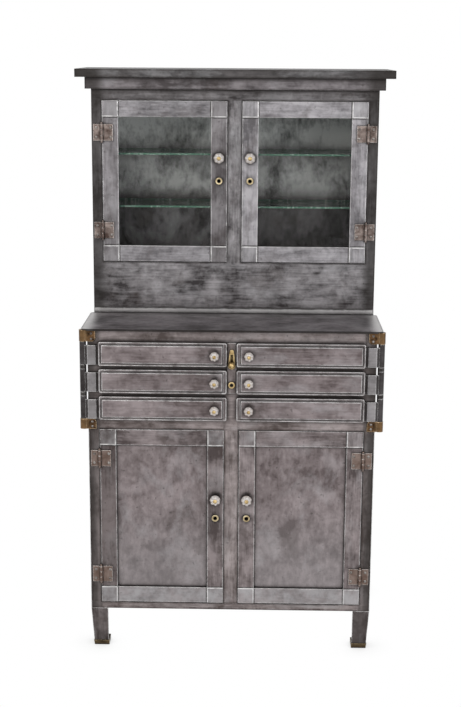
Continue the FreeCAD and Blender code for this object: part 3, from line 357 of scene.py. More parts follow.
def patina(tree, seed, grain, tones, rails):
    """Open face of gunmetal steel: clouds, brush lines, smudges, rubbed patches and pits."""
    place = tree.place(seed)
    cloud = tree.noise(place, *CLOUDS)
    mottle = tree.noise(place, *MOTTLE)
    lines, drift, patch = strokes(tree, seed, grain)
    if rails:
        mark = rails(tree)
        crossing = strokes(tree, seed + CROSSING_SEED_STEP, ACROSS)
        lines, drift, patch = (tree.blend(mark, *pair) for pair in zip((lines, drift, patch), crossing))
    tone = tree.sum((0.36, cloud), (0.28, drift), (0.18, mottle), (0.18, lines))
    base = tree.mix(tree.slope(tone, *TONE_SPAN), *tones)
    spots = tree.noise(tree.place(seed + SMUDGE_SEED_STEP), *SMUDGES)
    smudge = tree.slope(spots, *SMUDGE_SPAN, 0.0, SMUDGE_COVER)
    base = tree.mix(smudge, base, tree.mix(SMUDGE_BROWN_SHARE, tones[0], SMUDGED))
    rubbed = tree.slope(patch, *RUBBED_SPAN, 0.0, RUBBED_COVER)
    base = tree.mix(rubbed, base, tree.mix(POLISH_SHARE, tones[1], POLISHED))
    pits = tree.ramp(tree.noise(place, *PITS), *PIT_SPAN, 0.0, PIT_COVER)
    base = tree.mix(pits, base, PITTED)
    return SimpleNamespace(base=base, cloud=cloud, mottle=mottle, lines=lines, drift=drift,
                           rubbed=rubbed, pits=pits)


def steel(name, seed, grain, tones, edge=WORN_AND_HIGHLIT, wear_and_highlight=0.9, keen=0.10, rough=0.44, corner_dirt_and_shade=1.0, halo=1.0,
          rails=None, zones=(), inside_light=None):
    """Bare steel under a gunmetal patina, with dirt and painted shade in its corners, and edges either
    rubbed pale with a painted highlight or darkened with painted shade.

    Rails mark where the grain runs across, each zone lays a colour over one part of a piece, and an inner
    mask paints light and shade over paler, duller inner faces. One share sets how much of the edge colour
    shows, a low keen value shows it on blunter edges too, another share sets how dark the dirt and painted
    shade in the corners are, and halo is how far a brown painted shade darkens the faces near them."""
    tree = Finish(name)
    skin = patina(tree, seed, grain, tones, rails)
    base, metallic = skin.base, STEEL_METALLIC
    # Painted light and shade on the showcase's inner faces: paler, less metallic and streaked
    if inside_light:
        inner = inside_light(tree)
        streaks = tree.sum((0.55, skin.cloud), (0.30, skin.drift), (0.15, skin.lines))
        base = tree.mix(inner, base, tree.mix(tree.slope(streaks, *STREAK_SPAN), *INSIDE_LIGHT))
        metallic = tree.blend(inner, STEEL_METALLIC, 0.0)
    for zone, tint in zones:
        base = tree.mix(zone(tree), base, tint)
    rounded, lean = tree.edges(HIGHLIT_EDGE_REACH if edge is WORN_AND_HIGHLIT else EDGE_SHADE_REACH)
    # Painted shade from occlusion in corners and gaps, mixed with dirt that comes and goes with the mottle
    corners = tree.math("MULTIPLY", tree.crevice(CORNER_REACH, *CORNER_SPAN), corner_dirt_and_shade)
    dirt_and_shade = tree.math("MULTIPLY", corners, tree.ramp(skin.mottle, *DIRT_AND_SHADE_SPAN, *DIRT_AND_SHADE_SHARES))
    # Painted shade: a wider, brown darkening from occlusion near steps, overhangs and fittings, broken into
    # clouds
    brown = tree.ramp(skin.drift, *BROWN_SPAN, *(share * halo for share in BROWN_SHARES))
    shade = tree.math("MULTIPLY", tree.crevice(HALO_REACH, *HALO_SPAN), brown)
    # Rubbed edges that also serve as a painted highlight, or painted shade along edges where the edge
    # colour is dark
    sharp = tree.ramp(lean, KEEN_START_SHARE * keen, keen)
    open_edge = tree.math("MULTIPLY", sharp, tree.math("SUBTRACT", 1.0, dirt_and_shade))
    bare_and_highlit = tree.ramp(skin.mottle, *WEAR_AND_HIGHLIGHT_SPAN, *(share * wear_and_highlight for share in WEAR_AND_HIGHLIGHT_SHARES))
    rubbed_and_highlit = tree.math("MULTIPLY", open_edge, bare_and_highlit)
    base = tree.mix(rubbed_and_highlit, base, edge)
    base = tree.mix(shade, base, SHADED)
    base = tree.mix(dirt_and_shade, base, SOOT_AND_SHADE)
    shine = tree.sum((0.14, skin.lines), (0.22, skin.drift), (-0.12, skin.rubbed), (-0.10, rubbed_and_highlit),
                     (1.0, rough + STEEL_ROUGH_SHIFT))
    relief = tree.sum((0.5, skin.lines), (0.3, skin.mottle), (-0.6, skin.pits))
    flat = tree.add("NewGeometry", {}).outputs["Normal"]
    normal = tree.bump(relief, STEEL_BUMP, STEEL_RELIEF, rounded if edge is WORN_AND_HIGHLIT else flat)
    inputs = {"Base Color": base, "Metallic": metallic, "Roughness": shine, "Normal": normal}
    return tree.done(tree.add("BsdfPrincipled", inputs).outputs[0])


def plated(name, tones, seed, edge=0.0012, corner_dirt_and_shade=0.006, size=60.0, zones=(), hollow=None):
    """Old plated or cast fitting: tarnish in clouds of one size, tarnish and painted shade in its corners,
    rubbed bright edges that also serve as a painted highlight.

    Edge is the reach of the rubbing and highlight, and the corner reach that of the tarnish and painted
    shade. A hollow marks black bores, painted as shade."""
    dark, light, bright = tones
    tree = Finish(name)
    place = tree.place(seed)
    cloud = tree.noise(place, size, *TARNISH_CLOUDS)
    speck = tree.noise(place, *SPECKS)
    tone = tree.sum((0.85, cloud), (0.15, speck))
    base = tree.mix(tree.slope(tone, *TARNISH_SPAN), dark, light)
    for zone, tint in zones:
        base = tree.mix(zone(tree), base, tint)
    rounded, lean = tree.edges(edge)
    # Tarnish and painted shade from occlusion in corners and round screw heads
    dirt_and_shade = tree.math("MULTIPLY", tree.crevice(corner_dirt_and_shade, *CORNER_SPAN), TARNISH_AND_SHADE_COVER)
    # Rubbed edges, brightened as a painted highlight
    open_edge = tree.math("MULTIPLY", tree.ramp(lean, *LEAN_SPAN), tree.math("SUBTRACT", 1.0, dirt_and_shade))
    rubbed_and_highlit = tree.math("MULTIPLY", open_edge, tree.ramp(cloud, *RUB_AND_HIGHLIGHT_SPAN, *RUB_AND_HIGHLIGHT_SHARES))
    base = tree.mix(rubbed_and_highlit, base, bright)
    base = tree.mix(dirt_and_shade, base, TARNISH_AND_SHADE)
    shine = tree.sum((0.30, cloud), (-0.12, rubbed_and_highlit), (1.0, PLATED_ROUGH))
    # Bores painted black as shade
    if hollow:
        inside = hollow(tree)
        base = tree.mix(inside, base, BORE_SHADE)
        shine = tree.math("MAXIMUM", shine, inside)
    normal = tree.bump(tree.sum((0.6, cloud), (0.4, speck)), PLATED_BUMP, PLATED_RELIEF, rounded)
    inputs = {"Base Color": base, "Metallic": PLATED_METALLIC, "Roughness": shine, "Normal": normal}
    return tree.done(tree.add("BsdfPrincipled", inputs).outputs[0])


# Masks over parts of a piece, measured from the frame

PLATE = 0.0445
SEAM = 0.003
SOFT = 0.001
SMUDGE = 0.012
LOCK_RING = 0.0095
LOCK_BORE = 0.0050
POST_COLLAR = 0.009
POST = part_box("pivot_rods")[1].x - POST_COLLAR
LEDGE_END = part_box("worktop")[1].x
LEDGE_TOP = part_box("worktop")[1].z
GLASS_DOOR_LOW, GLASS_DOOR_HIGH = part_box("upper_right_door_frame")
CUPBOARD_DOOR_LOW, CUPBOARD_DOOR_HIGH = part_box("lower_right_door_frame")
LOW_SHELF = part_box("glass_shelves")[0].z
HIGH_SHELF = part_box("glass_shelves")[1].z
LEG_SPREAD = 0.2

# How far a face has to look towards the front, and towards the middle times its distance from it
FACING_FRONT = (-0.8, -0.5)
FACING_INWARDS = (-0.2, -0.1)

# Steps from one of these places to the two sides of a mask's border or band
OUTER_ENDS_STEPS = (-0.023, 0.016)
LEDGE_ENDS_STEPS = (-0.040, -0.006)
PLINTH_STEPS = (0.001, 0.015)
HEADER_STEPS = (-0.0065, 0.0055)
APRON_STEPS = (-0.0075, -0.0015)
ABOVE_DOORS_STEPS = (-0.0005, 0.0055)
BELOW_CUPBOARD_STEPS = (-0.0145, -0.0005)
ABOVE_CUPBOARD_STEP = 0.0005
PANEL_FOOT_STEPS = (0.0655, 0.3255)
LOW_HINGE_STEPS = (-0.12, 0.08)
MIDDLE_BAY_STEPS = (-0.0255, 0.0545)
HIGH_BAY_STEPS = (-0.028, 0.032)
WRAP_STEPS = (-0.0175, -0.0095)
ARM_STEPS = (-0.035, -0.0125)
STRAP_STEPS = (-0.0515, -0.036)
BARREL_STEPS = (-0.0125, -0.011)

# How far each mask covers what is under it
OUTER_ENDS_SHARE = 0.80
LEDGE_ENDS_SHARE = 0.70
LEDGE_FRONT_SHARE = 0.88
PLINTH_SHARE = 0.85
HEADER_SHARE = 0.34
PANEL_FOOT_SHARE = 0.24
LOW_HINGE_SHARE = 0.55
LOW_BAY_SHARE, MIDDLE_BAY_SHARE, HIGH_BAY_GAIN = 0.02, 0.42, 0.58
WRAP_SHARE = 0.45
LEG_SHARE = 0.36
ARM_SHARE = 0.40
STRAP_SHARE = 0.80
SEAM_SHARE = 0.86
SMUDGE_SHARE = 0.80
PLATE_SHARES = (0.10, 0.42)
FOOT_SHARES = (0.26, 0.66)
GLINT_SHARES = (0.15, 0.75)
TOUCH_SHARES = (0.20, 1.0)

# Noises that break masks up, and the values between which they do so
DOOR_CLOUDS, DOOR_CLOUD_SPAN = (32.0, 5.0), (0.38, 0.62)
GLINT_SCALE, GLINT_SPAN = 55.0, (0.35, 0.60)
TOUCH_SCALE, TOUCH_SPAN = 70.0, (0.38, 0.60)
TOUCH_SEED = 3.7


def stepped(start, steps):
    """Places at several steps from a start."""
    return [start + step for step in steps]


class DoorZones:
    """Masks over one door's frame: corner plates, rails between them and the seams beside the plates."""

    def __init__(self, node):
        self.low, self.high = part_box(node)

    def steps(self, tree):
        """Distance from the nearer upright edge and from the nearer level edge."""
        x, z = tree.axis("X"), tree.axis("Z")
        aside = tree.math("SUBTRACT", x, self.low.x), tree.math("SUBTRACT", self.high.x, x)
        above = tree.math("SUBTRACT", z, self.low.z), tree.math("SUBTRACT", self.high.z, z)
        return tree.math("MINIMUM", *aside), tree.math("MINIMUM", *above)

    def uneven(self, tree, shares):
        """Share that comes and goes in soft clouds."""
        cloud = tree.noise(tree.place(self.low.x + self.low.z), *DOOR_CLOUDS)
        return tree.slope(cloud, *DOOR_CLOUD_SPAN, *shares)

    def rails(self, tree):
        aside, above = self.steps(tree)
        between = tree.ramp(aside, PLATE, PLATE + SOFT)
        return tree.math("MULTIPLY", between, tree.ramp(above, PLATE, PLATE + SOFT, 1.0, 0.0))

    def plates(self, tree):
        aside, above = self.steps(tree)
        inner = PLATE - 2.0 * SOFT
        inside = tree.math("MULTIPLY", tree.band(aside, SEAM, inner), tree.band(above, SEAM, inner))
        return tree.math("MULTIPLY", inside, self.uneven(tree, PLATE_SHARES))

    def foot(self, tree):
        """Lowest rail, paler than the rest."""
        rise = tree.math("SUBTRACT", tree.axis("Z"), self.low.z)
        low = tree.ramp(rise, PLATE - 4.0 * SOFT, PLATE + 4.0 * SOFT, 1.0, 0.0)
        return tree.math("MULTIPLY", low, self.uneven(tree, FOOT_SHARES))

    def soiled_stiles(self, left_share, right_share):
        """Stiles browner than the rest."""
        def mask(tree):
            from_left = tree.math("SUBTRACT", tree.axis("X"), self.low.x)
            from_right = tree.math("SUBTRACT", self.high.x, tree.axis("X"))
            left = tree.ramp(from_left, PLATE - 2.0 * SOFT, PLATE + SOFT, left_share, 0.0)
            right = tree.ramp(from_right, PLATE - 2.0 * SOFT, PLATE + SOFT, right_share, 0.0)
            return tree.math("MAXIMUM", left, right)
        return mask

    def seams(self, tree):
        """Dark joint just outside each corner plate."""
        return tree.math("MULTIPLY", self.frets(tree, PLATE, PLATE + SEAM), SEAM_SHARE)

    def glints(self, tree):
        """Painted highlights along the inner edges of each corner plate, which are also rubbed."""
        broken = tree.ramp(tree.noise(tree.place(self.low.x), GLINT_SCALE), *GLINT_SPAN, *GLINT_SHARES)
        return tree.math("MULTIPLY", self.frets(tree, PLATE - SEAM, PLATE), broken)

    def frets(self, tree, low, high):
        """Lines at one distance from both edges of the door, as far as the plates reach."""
        aside, above = self.steps(tree)
        border = (PLATE, PLATE + SEAM, 1.0, 0.0)
        upright = tree.math("MULTIPLY", tree.band(aside, low, high), tree.ramp(above, *border))
        level = tree.math("MULTIPLY", tree.band(above, low, high), tree.ramp(aside, *border))
        return tree.math("MAXIMUM", upright, level)


def from_middle(tree, node):
    """Distance from the middle line of a knob or lock."""
    low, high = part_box(node)
    aside = tree.math("SUBTRACT", tree.axis("X"), (low.x + high.x) / 2.0)
    above = tree.math("SUBTRACT", tree.axis("Z"), (low.z + high.z) / 2.0)
    squares = tree.math("ADD", tree.math("MULTIPLY", aside, aside), tree.math("MULTIPLY", above, above))
    return tree.math("SQRT", squares, 0.0)


def smudges(*nodes):
    """Painted shade and brown finger smudges round knobs and locks."""
    def mask(tree):
        total = 0.0
        for node in nodes:
            low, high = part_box(node)
            radius = LOCK_RING if node.endswith("lock") else (high.z - low.z) / 2.0
            smudge = tree.ramp(from_middle(tree, node), radius, radius + SMUDGE, SMUDGE_SHARE, 0.0)
            total = tree.math("MAXIMUM", total, smudge)
        patchy = tree.slope(tree.noise(tree.place(TOUCH_SEED), TOUCH_SCALE), *TOUCH_SPAN, *TOUCH_SHARES)
        return tree.math("MULTIPLY", total, patchy)
    return mask


def lock_bores(tree):
    """Painted black shade in the bores of the door locks."""
    nearest = 1.0
    for side in SIDES:
        for level in LEVELS:
            nearest = tree.math("MINIMUM", nearest, from_middle(tree, f"{level}_{side}_door_lock"))
    return tree.ramp(nearest, LOCK_BORE, LOCK_BORE + SOFT, 1.0, 0.0)


def outer_ends(tree):
    """Painted shade over the case's two outer ends, from the hinged edges of the showcase doors outwards.
    """
    return tree.ramp(tree.aside(), *stepped(GLASS_DOOR_HIGH.x, OUTER_ENDS_STEPS), 0.0, OUTER_ENDS_SHARE)


def ledge_ends(tree):
    """Paler ends of the ledge."""
    return tree.ramp(tree.aside(), *stepped(LEDGE_END, LEDGE_ENDS_STEPS), 0.0, LEDGE_ENDS_SHARE)


def ledge_front(tree):
    """Painted shade on the front edge of the ledge."""
    return tree.ramp(tree.facing("Y"), *FACING_FRONT, LEDGE_FRONT_SHARE, 0.0)


def plinth_band(tree):
    """Painted highlight on the rounded hem along the foot of the showcase."""
    band = tree.band(tree.axis("Z"), *stepped(LEDGE_TOP, PLINTH_STEPS), SOFT)
    return tree.math("MULTIPLY", band, PLINTH_SHARE)


def header_band(tree):
    """Painted shade darkening the strip between the doors and the cornice, below the cornice's overhang."""
    return tree.ramp(tree.axis("Z"), *stepped(GLASS_DOOR_HIGH.z, HEADER_STEPS), 0.0, HEADER_SHARE)


def apron_and_header(tree):
    """The showcase front below and above its doors, brushed across."""
    apron = tree.ramp(tree.axis("Z"), *stepped(GLASS_DOOR_LOW.z, APRON_STEPS), 1.0, 0.0)
    header = tree.ramp(tree.axis("Z"), *stepped(GLASS_DOOR_HIGH.z, ABOVE_DOORS_STEPS))
    return tree.math("MAXIMUM", apron, header)


def base_rails(tree):
    """The base front's rails below and above the cupboard doors, brushed across."""
    below = tree.band(tree.axis("Z"), *stepped(CUPBOARD_DOOR_LOW.z, BELOW_CUPBOARD_STEPS))
    above = tree.band(tree.axis("Z"), CUPBOARD_DOOR_HIGH.z + ABOVE_CUPBOARD_STEP, LEDGE_TOP)
    return tree.math("MAXIMUM", below, above)


def panel_foot(tree):
    """Cupboard panels paler towards their feet."""
    return tree.ramp(tree.axis("Z"), *stepped(CUPBOARD_DOOR_LOW.z, PANEL_FOOT_STEPS), PANEL_FOOT_SHARE, 0.0)


def bracket_wraps(tree):
    """Paler, more golden outer halves of the corner brackets."""
    return tree.ramp(tree.aside(), *stepped(POST, WRAP_STEPS), 0.0, WRAP_SHARE)


def leg_side(tree):
    """Painted shade on the legs, deeper towards the cabinet's right side."""
    return tree.ramp(tree.axis("X"), -LEG_SPREAD, LEG_SPREAD, 0.0, LEG_SHARE)


def low_hinges(tree):
    """Browner plating on the cupboard's hinges, below the ledge."""
    return tree.ramp(tree.axis("Z"), *stepped(LEDGE_TOP, LOW_HINGE_STEPS), LOW_HINGE_SHARE, 0.0)


def showcase_inside_light(tree):
    """Painted light and shade on the showcase's inner faces, faint in its lowest bay and strongest in its
    highest.
    """
    rear = tree.ramp(tree.facing("Y"), *FACING_FRONT, 1.0, 0.0)
    inwards = tree.math("MULTIPLY", tree.facing("X"), tree.axis("X"))
    ends = tree.ramp(inwards, *FACING_INWARDS, 1.0, 0.0)
    height = tree.axis("Z")
    middle_bay = tree.ramp(height, *stepped(LOW_SHELF, MIDDLE_BAY_STEPS), LOW_BAY_SHARE, MIDDLE_BAY_SHARE)
    high_bay = tree.ramp(height, *stepped(HIGH_SHELF, HIGH_BAY_STEPS), 0.0, HIGH_BAY_GAIN)
    return tree.math("MULTIPLY", tree.math("MAXIMUM", rear, ends), tree.math("ADD", middle_bay, high_bay))


def arm_plates(tree):
    """Pale plates at the outer ends of the tray straps."""
    return tree.math("MULTIPLY", tree.band(tree.aside(), *stepped(POST, ARM_STEPS)), ARM_SHARE)


def strap_ends(tree):
    """Painted shade on the strap in the recess beside the tray front, and the dark barrel round the post.
    """
    strap = tree.band(tree.aside(), *stepped(POST, STRAP_STEPS))
    barrel = tree.ramp(tree.aside(), *stepped(POST, BARREL_STEPS))
    return tree.math("MULTIPLY", tree.math("MAXIMUM", strap, barrel), STRAP_SHARE)


# Glass, floor and surroundings

GLASS_INDEX = 1.5
PANE_INDEX = 1.15
SMEAR_STRETCH = (3.0, 3.0, 9.0)
SMEARS = (2.0, 5.0, 0.6, 0.1)
CUTS = (130.0, 4.0, 0.7, 0.0)
WAVES = (160.0, 3.0, 0.5, 0.0)
WAVE_RELIEF = 0.0005
WAVE_BUMP = 0.10
FLAT_SPAN = (0.3, 0.6)
SMEAR_SPAN = (0.3, 0.7)
SMEAR_ROUGH = (0.03, 0.08)
SMEAR_GLEAM = (0.85, 1.15)
SPARKLE_SPAN = (0.50, 0.68)
CUT_ROUGH = 0.18
CUT_CLEAR = 0.20
WAVE_SPAN = (0.35, 0.65)
WAVE_ROUGH_SPAN = (0.3, 0.7)
WAVE_ROUGH = (0.03, 0.10)
FLUTE_SPAN = (0.45, 1.0)
KNOB_CLEAR = 0.30
KNOB_SEED = 2.2
PAPER_SCALE, PAPER_SPAN = 3.0, (0.2, 0.8)
FEET_SPAN = (0.2, 1.0)
STUDIO_STRENGTH = 0.75
FLUTE_REACH = 0.007
FEET_REACH = 0.08
FEET_SHADOW = 0.30
FLOOR_HALF = 12.0


def pane_glass(name, tint, edge, seed, flat_axis):
    """Sheet glass: clear and smeared on its faces, green and sparkling along its cut edges."""
    tree = Finish(name)
    smear = tree.noise(tree.place(seed, SMEAR_STRETCH), *SMEARS)
    cut = tree.noise(tree.place(seed), *CUTS)
    through = tree.add("BsdfTransparent", {"Color": tint}).outputs[0]
    rough = tree.ramp(smear, *SMEAR_SPAN, *SMEAR_ROUGH)
    shine = tree.add("BsdfGlossy", {"Roughness": rough}).outputs[0]
    mirror = tree.add("Fresnel", {"IOR": PANE_INDEX}).outputs[0]
    gleam = tree.math("MULTIPLY", mirror, tree.ramp(smear, *SMEAR_SPAN, *SMEAR_GLEAM))
    face = tree.add("MixShader", {0: gleam, 1: through, 2: shine}).outputs[0]
    green = tree.mix(tree.ramp(cut, *SPARKLE_SPAN), edge, CUT_SPARKLE)
    inputs = {"Base Color": green, "Roughness": CUT_ROUGH, "Transmission Weight": CUT_CLEAR,
              "IOR": GLASS_INDEX}
    side = tree.add("BsdfPrincipled", inputs).outputs[0]
    flat = tree.ramp(tree.math("ABSOLUTE", tree.facing(flat_axis), 0.0), *FLAT_SPAN)
    return tree.done(tree.add("MixShader", {0: flat, 1: side, 2: face}).outputs[0])


def knob_glass():
    """Pressed glass, faintly yellowed, with painted brown shade in its flutes and small flow waves."""
    tree = Finish("pressed_glass")
    wave = tree.noise(tree.place(KNOB_SEED), *WAVES)
    tint = tree.mix(tree.ramp(wave, *WAVE_SPAN), *KNOB_TINTS)
    # Painted shade in the flutes, from occlusion
    tint = tree.mix(tree.crevice(FLUTE_REACH, *FLUTE_SPAN), tint, FLUTE_SHADE)
    normal = tree.bump(wave, WAVE_BUMP, WAVE_RELIEF, tree.add("NewGeometry", {}).outputs["Normal"])
    rough = tree.ramp(wave, *WAVE_ROUGH_SPAN, *WAVE_ROUGH)
    inputs = {"Base Color": tint, "Roughness": rough, "Normal": normal,
              "Transmission Weight": KNOB_CLEAR, "IOR": GLASS_INDEX, "Coat Weight": 1.0}
    return tree.done(tree.add("BsdfPrincipled", inputs).outputs[0])


def floor_paint():
    """Pale floor that reads as white paper behind the cabinet, with a soft shadow at the feet."""
    tree = Finish("floor_paper")
    grey = tree.mix(tree.ramp(tree.noise(tree.place(), PAPER_SCALE), *PAPER_SPAN), *PAPER)
    paper = tree.add("BsdfDiffuse", {"Color": grey}).outputs[0]
    lit = tree.sum((-FEET_SHADOW, tree.crevice(FEET_REACH, *FEET_SPAN)), (1.0, 1.0))
    white = tree.add("Emission", {"Color": WHITE, "Strength": lit}).outputs[0]
    return tree.done(tree.add("MixShader", {0: tree.watched(), 1: paper, 2: white}).outputs[0])


def make_floor():
    corners = [(x * FLOOR_HALF, y * FLOOR_HALF, 0.0) for x, y in ((-1, -1), (1, -1), (1, 1), (-1, 1))]
    mesh = bpy.data.meshes.new("floor")
    mesh.from_pydata(corners, [], [(0, 1, 2, 3)])
    mesh.materials.append(floor_paint())
    floor = bpy.data.objects.new("floor", mesh)
    bpy.context.scene.collection.objects.link(floor)


def make_world():
    """White for the camera, shiny faces and glass; a soft grey studio lights the dull faces."""
    world = bpy.data.worlds.new("studio")
    tree = Nodes(world)
    height = tree.add("SeparateXYZ", {0: tree.add("TexCoord", {}).outputs["Generated"]}).outputs["Z"]
    grey = tree.mix(tree.slope(height, 0.0, 1.0), *STUDIO)
    around = tree.add("Background", {"Color": grey, "Strength": STUDIO_STRENGTH}).outputs[0]
    white = tree.add("Background", {"Color": WHITE, "Strength": 1.0}).outputs[0]
    seen = tree.add("MixShader", {0: tree.watched(), 1: around, 2: white}).outputs[0]
    tree.add("OutputWorld", {"Surface": seen})
    bpy.context.scene.world = world


# Fittings built as meshes

FLAT_MIDDLE_SHARE = 0.45
SMOOTH_ANGLE = math.radians(38.0)
SCREW_SIDES = 14
SLOT_LENGTH_SHARE, SLOT_WIDTH_SHARE, SLOT_DEPTH_SHARE, SLOT_RISE_SHARE = 0.78, 0.13, 0.1, 0.95
SCREW_PROFILE = ((1.0, 0.0), (1.0, 0.25), (0.86, 0.62), (0.6, 0.88), (0.3, 1.0))


class Builder:
    """Collects turned and boxed shapes into one mesh with several finishes."""

    def __init__(self):
        self.points = []
        self.faces = []
        self.kinds = []

    def lathe(self, profile, centre, axis, sides, kind, lobes=0, depth=0.0, flute=0.0, ring=False):
        """Profile of (radius, distance along the axis), turned round the axis; a ring closes on itself.

        Lobes scallop the rim by a share of its radius, and the face towards it by a share of its rise."""
        axis = Vector(axis)
        across = axis.orthogonal().normalized()
        other = axis.cross(across)
        start = len(self.points)
        widest = max(radius for radius, along in profile)
        for radius, along in profile:
            share = max(0.0, radius / widest - FLAT_MIDDLE_SHARE) / (1.0 - FLAT_MIDDLE_SHARE)
            for step in range(sides):
                angle = 2.0 * math.pi * step / sides
                dip = share * (0.5 - 0.5 * math.cos(lobes * angle))
                spoke = across * math.cos(angle) + other * math.sin(angle)
                reach, rise = radius * (1.0 - depth * dip), along * (1.0 - flute * dip)
                self.points.append(Vector(centre) + axis * rise + spoke * reach)
        rows = len(profile)
        for row in range(rows if ring else rows - 1):
            ahead = (row + 1) % rows
            for step in range(sides):
                beside = (step + 1) % sides
                self.faces.append((start + row * sides + step, start + row * sides + beside,
                                   start + ahead * sides + beside, start + ahead * sides + step))
                self.kinds.append(kind)
        if not ring:
            self.faces.append(tuple(start + step for step in reversed(range(sides))))
            self.faces.append(tuple(start + (rows - 1) * sides + step for step in range(sides)))
            self.kinds += [kind, kind]

    def bar(self, centre, half, kind):
        """Block with its faces along the frame's axes."""
        start = len(self.points)
        for x in (-half[0], half[0]):
            for y in (-half[1], half[1]):
                for z in (-half[2], half[2]):
                    self.points.append(Vector(centre) + Vector((x, y, z)))
        for face in ((0, 1, 3, 2), (4, 6, 7, 5), (0, 4, 5, 1), (2, 3, 7, 6), (0, 2, 6, 4), (1, 5, 7, 3)):
            self.faces.append(tuple(start + corner for corner in face))
            self.kinds.append(kind)

    def screw(self, place, outward, radius, rise, slot_turned):
        """Domed head with a driver slot, facing the front or the back."""
        profile = [(share * radius, along * rise) for share, along in SCREW_PROFILE]
        self.lathe(profile, place, (0.0, outward, 0.0), SCREW_SIDES, 0)
        long, thin, deep = SLOT_LENGTH_SHARE * radius, SLOT_WIDTH_SHARE * radius, SLOT_DEPTH_SHARE * rise
        half = (thin, deep, long) if slot_turned else (long, deep, thin)
        self.bar(Vector(place) + Vector((0.0, outward * SLOT_RISE_SHARE * rise, 0.0)), half, 1)

    def build(self, name, materials):
        mesh = bpy.data.meshes.new(name)
        mesh.from_pydata(self.points, [], self.faces)
        for material in materials:
            mesh.materials.append(material)
        mesh.polygons.foreach_set("material_index", self.kinds)
        mesh.update()
        piece = bpy.data.objects.new(name, mesh)
        bpy.context.scene.collection.objects.link(piece)
        mesh.polygons.foreach_set("use_smooth", [True] * len(self.faces))
        mesh.set_sharp_from_angle(angle=SMOOTH_ANGLE)
        return piece


# Knobs, with profiles in shares of the knob's radius and of its length

KNOB_LENGTH = 0.025
KNOB_HEAD = 0.0025
KNOB_LOBES = 7
LOBE_DEPTH_SHARE = 0.07
LOBE_FLUTE_SHARE = 0.18
GLASS_SIDES, BOLT_SIDES, COLLAR_SIDES, NUT_SIDES = 64, 24, 32, 6
GLASS_PROFILE = ((0.50, 0.00), (0.46, 0.08), (0.44, 0.22), (0.56, 0.34), (0.82, 0.46), (0.95, 0.56),
                 (1.00, 0.66), (0.98, 0.76), (0.90, 0.86), (0.76, 0.94), (0.58, 0.985), (0.40, 1.00),
                 (0.24, 0.97), (0.24, 0.00))
SHANK_SHARE = 0.20
BOLT_PROFILE = ((0.06, 1.09), (0.20, 1.08), (0.31, 1.05), (0.37, 1.01), (0.34, 0.985),
                (SHANK_SHARE, 0.975), (SHANK_SHARE, 0.00))
COLLAR_PROFILE = ((0.64, 0.0), (0.64, 0.024), (0.58, 0.056), (0.51, 0.056), (0.51, 0.0))
NUT_SHARE = 0.36
NUT_BACK, NUT_FRONT = 0.001, 0.004


def make_knob(node, body, materials):
    """Scalloped glass knob on a brass bolt, with a brass seat ring and a nut behind."""
    low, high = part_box(node)
    radius = (high.x - low.x) / 2.0
    seat = Vector(((low.x + high.x) / 2.0, low.y + KNOB_LENGTH + KNOB_HEAD, (low.z + high.z) / 2.0))
    behind = high.y - seat.y
    out = (0.0, -1.0, 0.0)

    def sized(profile):
        return [(share * radius, along * KNOB_LENGTH) for share, along in profile]

    knob = Builder()
    knob.lathe(sized(GLASS_PROFILE), seat, out, GLASS_SIDES, 0, KNOB_LOBES, LOBE_DEPTH_SHARE,
               LOBE_FLUTE_SHARE, ring=True)
    knob.lathe(sized(BOLT_PROFILE) + [(SHANK_SHARE * radius, -behind)], seat, out, BOLT_SIDES, 1)
    knob.lathe(sized(COLLAR_PROFILE), seat, out, COLLAR_SIDES, 1, ring=True)
    nut = [(NUT_SHARE * radius, along - behind) for along in (NUT_BACK, NUT_FRONT)]
    knob.lathe(nut, seat, out, NUT_SIDES, 1)
    piece = knob.build(node + "_pressed", materials)
    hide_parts(node)
    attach(piece, body)


# Screws

HINGE_HEIGHT = 0.046
HINGE_BARREL = 0.0085
HINGE_LEAF = 0.002
DOOR_LEAF_SCREWS = -0.025
FRAME_LEAF_SCREWS = 0.0147
HINGE_SCREW_SHIFTS = (-0.013, 0.013)
BRACKET_LEAF = 0.003
BRACKET_SCREW_X = 0.380
LOW_BRACKET_SCREWS = (0.0075, 0.0205)
HIGH_BRACKET_SCREWS = (-0.0245, -0.0095)
BACK_SCREW_X = 0.375
BACK_SCREW_STEP = 0.125
BACK_COLUMN_LEVELS = (0.14, 0.33, 0.52, 0.71, 0.89, 0.95, 1.145, 1.34, 1.52)
BACK_ROW_LEVELS = (0.14, 0.89, 0.95, 1.52)
BACK_ROW_STEPS = range(-2, 3)
SLOT_TURN_CYCLE = 3
HINGE_SCREW = SimpleNamespace(radius=0.0040, rise=0.0013)
BRACKET_SCREW = SimpleNamespace(radius=0.0034, rise=0.0014)
BACK_SCREW = SimpleNamespace(radius=0.0042, rise=0.0016)


def make_screws(name, body, places, outward, materials, head):
    """Set of screw heads that moves with one body and faces one way along Y; some slots are turned."""
    screws = Builder()
    for index, place in enumerate(places):
        screws.screw(place, outward, head.radius, head.rise, index % SLOT_TURN_CYCLE == 1)
    piece = screws.build(name, materials)
    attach(piece, body)


def fit_hinges(door, sign, materials):
    """Screw heads on both leaves of one door's two hinges."""
    low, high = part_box(door + "_hinge_leaves")
    pin_x = sign * (max(abs(low.x), abs(high.x)) - HINGE_BARREL / 2.0)
    levels = (low.z + HINGE_HEIGHT / 2.0, high.z - HINGE_HEIGHT / 2.0)
    for name, body, offset in ((door + "_hinge_screws", door, DOOR_LEAF_SCREWS),
                               (door + "_frame_screws", "cabinet", FRAME_LEAF_SCREWS)):
        places = [(pin_x + sign * offset, high.y - HINGE_LEAF, level + shift)
                  for level in levels for shift in HINGE_SCREW_SHIFTS]
        make_screws(name, body, places, -1.0, materials, HINGE_SCREW)


